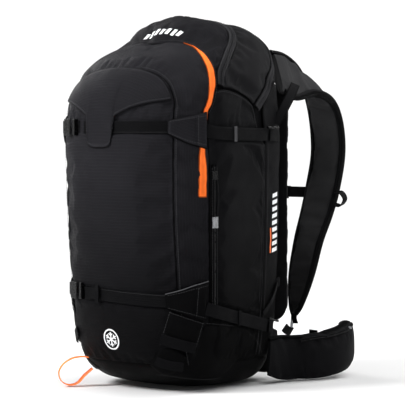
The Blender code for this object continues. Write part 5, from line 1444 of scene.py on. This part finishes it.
def fin_pads():
    """Padded hip fins with a zipped pocket."""
    rises = (0.0, 0.0, 0.002, 0.008, 0.019, 0.028)
    rows = smooth_path([(x, y, FIN_FOOT + h + rise / 2, h - rise / 2, t + 0.0020)
                        for (x, y, h, t), rise in zip(HIP_FIN, rises)], even(72))
    sides = 64
    turn = (np.arange(sides) + 0.5) * 2 * math.pi / sides
    for hand, sign in (("right", 1), ("left", -1)):
        body = f"{hand}_fin"
        centres = rows[:, :3] * np.array((sign, 1, 1))

        def relief(turn, share):
            crease = -0.0016 * np.exp(-((np.cos(turn) - 0.72) / 0.05) ** 2)
            fold = 0.0008 * np.sin(share * 40 + 3 * np.cos(turn)) * np.exp(-(share / 0.22) ** 2)
            end = -0.0014 * np.exp(-((share - 0.93) / 0.012) ** 2) - 0.0014 * np.exp(-((share - 0.10) / 0.012) ** 2)
            return crease + fold + end * np.abs(np.sin(turn))
        rings, weave = swept(centres, (0, 0, 1), rows[:, 3], rows[:, 4] - 0.0010, sides=sides, power=2.8, shape=relief)
        seams = (np.abs(np.cos(turn) - 0.72) < 0.04) | (np.cos(turn) < -0.93)
        pinned = np.broadcast_to(seams, rings.shape[:2]).copy()
        for share in (0.10, 0.93):
            pinned[int(share * 72)] = True
        _, rings = soft_tube(f"{hand}_hip_fin_pad", rings, weave, "fin", pinned, 1.6, 0.005, 0.6, body=body,
                             slot="front_fabric", stands_for=f"{hand}_hip_fin")
        outward = rings - centres[:, None, :]
        # the pocket zip runs along the outer face near the top
        for label, level in (("zip", 0.66), ("seam", 0.80)):
            k = [i for i in range(sides) if (np.sin(turn[i]) > 0) == (sign > 0)]
            probe = [i for i in k if abs(np.cos(turn[i]) - level) == min(abs(np.cos(turn[j]) - level) for j in k)][0]
            path = rings[8:66, probe]
            normal = unit(outward[8:66, probe])
            if label == "zip":
                blade, w = swept(path + normal * 0.0006, (0, 0, 1), 0.0040, 0.0012, sides=14, power=4.0)
                tube(f"{hand}_fin_pocket_zip", blade, "tape", weave=w.reshape(-1, 3), body=body, slot="zip_tape")
                stitches(f"{hand}_fin_zip_coil", [(path + normal * 0.0020, normal)], "coil", 0.0018, 0.0036, 0.0006,
                         form=False, body=body, across=True, slot="zip_tape")
                spot = path[44] + normal[44] * 0.0036
                at = frame_at(spot, path[45] - path[44], normal[44])
                blocks(f"{hand}_fin_zip_slider", at, [((0.0080, 0.0062, 0.0030), (0, 0, 0)),
                                                     ((0.0150, 0.0034, 0.0014), (0.0100, 0, 0.0014)),
                                                     ((0.0030, 0.0030, 0.0016), (0.0180, 0, 0.0014))],
                       "silver", 0.0006, body=body, slot="silver_metal")
            else:
                stitches(f"{hand}_fin_seam_stitching", [(path + normal * 0.0006, normal)], form=False, body=body,
                         slot="front_fabric")
        (x0, y0), (x1, y1) = (0.1285, 0.3085), (0.0620, 0.3280)
        start, end = np.array((x0 * sign, y0, 0.045)), np.array((x1 * sign, y1, 0.045))
        ribbon(f"{hand}_belt_webbing", [tuple(start), tuple((start + end) / 2 + np.array((0, 0.001, 0))), tuple(end)],
               (0, 0, 1), half=0.0180, body=body, stands_for=f"{hand}_hip_webbing")
        at = frame_at(end, end - start, (0, 1, 0))
        if sign > 0:
            rows_of = [((0.0240, 0.0430, 0.0020), (0.0185, 0, 0.0048)), ((0.0240, 0.0430, 0.0020), (0.0185, 0, -0.0044)),
                       ((0.0070, 0.0440, 0.0108), (0.0290, 0, 0)), ((0.0060, 0.0440, 0.0090), (0.0040, 0, 0)),
                       ((0.0140, 0.0045, 0.0100), (0.0110, 0.0195, 0)), ((0.0140, 0.0045, 0.0100), (0.0110, -0.0195, 0)),
                       ((0.0140, 0.0090, 0.0014), (0.0180, 0, 0.0060))]
            blocks("hip_buckle_socket_shell", at, rows_of, "buckle", 0.0014, body=body, slot="buckle_plastic",
                   stands_for="hip_buckle_socket")
        else:
            rows_of = [((0.0090, 0.0420, 0.0090), (0.0060, 0, 0)), ((0.0240, 0.0046, 0.0044), (0.0200, 0.0110, 0)),
                       ((0.0240, 0.0046, 0.0044), (0.0200, -0.0110, 0)), ((0.0070, 0.0070, 0.0044), (0.0310, 0.0130, 0)),
                       ((0.0070, 0.0070, 0.0044), (0.0310, -0.0130, 0)), ((0.0250, 0.0050, 0.0040), (0.0200, 0, 0)),
                       ((0.0020, 0.0340, 0.0018), (0.0050, 0, 0.0044)), ((0.0020, 0.0340, 0.0018), (0.0084, 0, 0.0044))]
            blocks("hip_buckle_plug_arms", at, rows_of, "buckle", 0.0012, body=body, slot="buckle_plastic",
                   stands_for="hip_buckle_plug")


def hip_wings():
    """Padded cloth that carries each fin, from under the pack's side to the fin's root."""
    for hand, sign in (("right", 1), ("left", -1)):
        rows = smooth_path([(0.1360, 0.0950, 0.0450, 0.0300, 0.0030), (0.1370, 0.1150, 0.0430, 0.0345, 0.0050),
                            (0.1345, 0.1350, 0.0405, 0.0365, 0.0070), (0.1360, 0.1560, 0.0385, 0.0365, 0.0090),
                            (0.1415, 0.1760, 0.0385, 0.0360, 0.0105)], even(46))
        centres = rows[:, :3] * np.array((sign, 1, 1))

        def relief(turn, share):
            fold = 0.0012 * np.sin(share * 17 + 4.0 * np.cos(turn)) * step(share / 0.2)
            return fold - 0.0012 * np.exp(-((np.abs(np.cos(turn)) - 0.84) / 0.05) ** 2)
        rings, weave = swept(centres, (0, 0, 1), rows[:, 3], rows[:, 4], sides=48, power=2.8, shape=relief)
        made = tube(f"{hand}_hip_wing_cloth", rings, "fin", weave=weave.reshape(-1, 3), body=None,
                    slot="front_fabric")
        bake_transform(made)
        edge = centres + np.array((0, 0, 1.0)) * (rows[:, 3:4] - 0.0010)
        bound, weave = swept(edge, (0, 0, 1), 0.0030, rows[:, 4] * 0.75 + 0.0012, sides=14, power=2.4)
        made = tube(f"{hand}_hip_wing_binding", bound, "binding", weave=weave.reshape(-1, 3), body=None,
                    slot="front_fabric")
        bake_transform(made)


def back_padding():
    """Padded back panel with sewn channels, and the lumbar pad."""
    def cushion(name, half, low, high, face, corner, look, node, seed, channels):
        columns, rows = 84, 120
        x = np.linspace(-half, half, columns)[None, :] * np.ones((rows, 1))
        z = np.linspace(low, high, rows)[:, None] * np.ones((1, columns))
        cx, cz = np.abs(x) - (half - corner), np.abs(z - (low + high) / 2) - ((high - low) / 2 - corner)
        outside = np.hypot(np.maximum(cx, 0), np.maximum(cz, 0))
        over = np.maximum(outside / corner, 1.0)
        x = np.where((cx > 0) & (cz > 0), np.sign(x) * (half - corner + cx / over), x)
        middle = (low + high) / 2
        z = np.where((cx > 0) & (cz > 0), middle + np.sign(z - middle) * ((high - low) / 2 - corner + cz / over), z)
        edge = np.minimum(corner - outside, np.minimum(half - np.abs(x), (high - low) / 2 - np.abs(z - middle)))
        crown_of = step(np.clip(edge, 0, None) / 0.016)
        y = 0.1400 + (face - 0.1400 - 0.0008) * crown_of
        points = np.stack([x, y, z], -1)
        for centre, width, axis in channels:
            value = np.abs(x) if axis == 0 else z
            points[..., 1] -= 0.0050 * np.exp(-((value - centre) / width) ** 2) * crown_of
        normal = np.broadcast_to(np.array((0.0, 1.0, 0.0)), points.shape)
        pinned = (edge < 0.002)
        for centre, width, axis in channels:
            value = np.abs(x) if axis == 0 else z
            pinned |= np.abs(value - centre) < width * 0.4
        moved = cloth_run(points, pinned, 1.4, 0.004)
        moved[..., 1] = np.minimum(moved[..., 1], face + 0.001)
        u, v = x, z
        weave = np.stack([u, v, np.maximum(edge, 0)], -1).reshape(-1, 3)
        back = moved.copy()
        back[..., 1] = 0.1396
        verts = np.concatenate([moved.reshape(-1, 3), back.reshape(-1, 3)])
        made = put(name, verts, slab_faces(rows, columns), look, weave=np.concatenate([weave, weave]),
                   slot="harness_mesh", stands_for=node)
    cushion("padded_back_panel", 0.139, 0.101, 0.493, 0.160, 0.030, "mesh", "back_pad", 91,
            ((0.045, 0.006, 0), (0.205, 0.005, 1), (0.300, 0.005, 1), (0.395, 0.005, 1)))
    cushion("padded_lumbar_panel", 0.105, 0.0125, 0.0935, 0.178, 0.014, "mesh", "lumbar_pad", 92, ((0.040, 0.006, 0),))


def sternum():
    y = float(np.interp(0.311, [0.273, 0.317], [0.2905, 0.3110]))
    place = np.array((0.0, y, 0.311))
    at = frame_at(place, (1, 0, 0), (0, 1, -0.32))
    under = unit(np.array((0.0, 1.0, -0.32))) * -0.0045
    for hand, sign, a, b in (("right", 1, 0.0155, 0.0490), ("left", -1, 0.0100, 0.0490)):
        base = place if sign > 0 else place + under
        points = [tuple(base + np.array((sign * x, 0, 0))) for x in (a, (a + b) / 2, b)]
        ribbon(f"sternum_{hand}_strap", points, (0, 0.32, 1.0), half=0.0095, thickness=0.0018, body="sternum",
               stands_for=f"sternum_webbing_{hand}")
    socket = [((0.0110, 0.0230, 0.0016), (0.0075, 0, 0.0034)), ((0.0110, 0.0230, 0.0016), (0.0075, 0, -0.0032)),
              ((0.0030, 0.0240, 0.0076), (0.0018, 0, 0)), ((0.0034, 0.0240, 0.0070), (0.0136, 0, 0)),
              ((0.0060, 0.0022, 0.0070), (0.0105, 0.0108, 0)), ((0.0060, 0.0022, 0.0070), (0.0105, -0.0108, 0))]
    blocks("sternum_socket_shell", at, socket, "buckle", 0.0008, body="sternum", slot="buckle_plastic",
           stands_for="sternum_buckle_socket")
    plug = [((0.0050, 0.0225, 0.0064), (-0.0040, 0, 0)), ((0.0030, 0.0225, 0.0044), (-0.0150, 0, 0)),
            ((0.0130, 0.0026, 0.0050), (-0.0095, 0.0099, 0)), ((0.0130, 0.0026, 0.0050), (-0.0095, -0.0099, 0)),
            ((0.0100, 0.0022, 0.0030), (0.0040, 0.0050, 0)), ((0.0100, 0.0022, 0.0030), (0.0040, -0.0050, 0))]
    blocks("sternum_plug_arms", at, plug, "buckle", 0.0008, body="sternum_plug", slot="buckle_plastic",
           stands_for="sternum_buckle_plug")


def ice_loop():
    root = np.array((-0.0775, -0.1095, 0.0380))
    out = unit(np.array((-0.62, -0.78, 0.0)))
    places = ((0.0020, 0.0475), (0.0140, 0.0485), (0.0300, 0.0455), (0.0440, 0.0360), (0.0505, 0.0230),
              (0.0460, 0.0090), (0.0340, 0.0028), (0.0200, 0.0055), (0.0080, 0.0180), (-0.0050, 0.0290))
    points = [tuple(root + out * reach + np.array((0, 0, height - root[2]))) for reach, height in places]
    across = unit(np.cross((0, 0, 1), out))
    count = 9
    twist = np.array([across + out * 0.10 * math.sin(k * 0.7) for k in range(count)])
    ribbon("ice_axe_tape", points, twist, "orange_webbing", half=0.0075, thickness=0.0015, pitch=0.002,
           body="ice_loop", slot="orange_trim", stands_for="ice_axe_loop")


def trigger():
    at = frame_at((-0.0850, 0.3400, 0.3520), (0.0, -0.10, -0.995), (0, 1, 0))
    rows = [((0.0880, 0.0190, 0.0095), (0, 0, 0)), ((0.0170, 0.0450, 0.0135), (0.0360, 0, 0.0010)),
            ((0.0500, 0.0090, 0.0040), (-0.0060, 0, 0.0040)), ((0.0060, 0.0205, 0.0105), (-0.0380, 0, 0))]
    rows += [((0.0026, 0.0200, 0.0104), (-0.0240 + 0.0085 * k, 0, 0)) for k in range(5)]
    blocks("trigger_grip", at, rows, "grip", 0.0026, body="trigger", slot="orange_trim", stands_for="trigger_handle")


def hidden_and_kept():
    """CAD nodes whose shape is right keep it and get their materials."""
    looks = {"frame_sheet": "sheet", "frame_hoop": "silver", "inflation_unit": "housing", "gas_cartridge": "steel",
             "valve_lever": "silver", "trigger_cable": "coil", "folded_airbag": "airbag"}
    for node, look in looks.items():
        mesh = frame["nodes"][node].data
        mesh.materials.clear()
        mesh.materials.append(LOOKS[look])


# ---------------------------------------------------------------- stage

def light(name, place, target, size, power, colour=(1, 1, 1)):
    data = bpy.data.lights.new(name, "AREA")
    data.shape = "RECTANGLE"
    data.size, data.size_y = size
    data.energy = power
    data.color = colour
    made = bpy.data.objects.new(name, data)
    made.location = place
    made.rotation_euler = (Vector(target) - Vector(place)).to_track_quat("-Z", "Y").to_euler()
    bpy.context.scene.collection.objects.link(made)


def stage():
    mesh = bpy.data.meshes.new("studio_floor")
    verts = [(x, y, -0.0004) for x in (-1.5, 1.5) for y in (-1.5, 1.5)]
    mesh.from_pydata(verts, [], [(0, 2, 3, 1)])
    floor = bpy.data.objects.new("studio_floor", mesh)
    t = Tree("floor_paper", (0.74, 0.74, 0.74), 0.9)
    t.tint(t.ramp(t.noise(3.0, 2.0), 0.3, 0.7, 0.0, 0.3), (0.77, 0.77, 0.77))
    mesh.materials.append(t.material)
    bpy.context.scene.collection.objects.link(floor)
    world()
    middle = (0.0, 0.05, 0.30)
    light("key", (-1.3, -2.3, 2.2), middle, (1.3, 1.3), 150)
    light("fill", (2.6, -0.9, 2.2), middle, (0.8, 1.2), 26)
    light("top", (0.3, 0.3, 2.6), middle, (2.0, 2.0), 38)
    light("rear", (0.8, 2.4, 1.9), middle, (1.6, 1.6), 60)
    light("left", (-2.5, 0.9, 1.6), middle, (1.2, 1.6), 35)


def world():
    """White up to just over the horizon and dimmer above, like a paper sweep between soft boxes."""
    made = bpy.data.worlds.new("studio")
    made.use_nodes = True
    nodes, links = made.node_tree.nodes, made.node_tree.links
    background = nodes["Background"]
    place = nodes.new("ShaderNodeTexCoord")
    parts = nodes.new("ShaderNodeSeparateXYZ")
    links.new(place.outputs["Generated"], parts.inputs[0])
    band = nodes.new("ShaderNodeMapRange")
    band.interpolation_type = "SMOOTHSTEP"
    links.new(parts.outputs["Z"], band.inputs["Value"])
    for label, number in (("From Min", 0.11), ("From Max", 0.20), ("To Min", 1.05), ("To Max", 0.06)):
        band.inputs[label].default_value = number
    links.new(band.outputs["Result"], background.inputs["Strength"])
    background.inputs["Color"].default_value = (1.0, 1.0, 1.0, 1.0)
    bpy.context.scene.world = made
    bpy.context.scene.view_settings.view_transform = "Standard"


camera()
zip_pull()
body_panels()
base_bowl()
zip_bands()
flap()
topstitching()
orange_facing()
side_zip()
marks()
front_straps()
wing_parts()
ladder_adjusters()
lower_patches()
shoulder_straps()
strap_feet()
fin_pads()
hip_wings()
back_padding()
sternum()
ice_loop()
trigger()
hidden_and_kept()
stage()
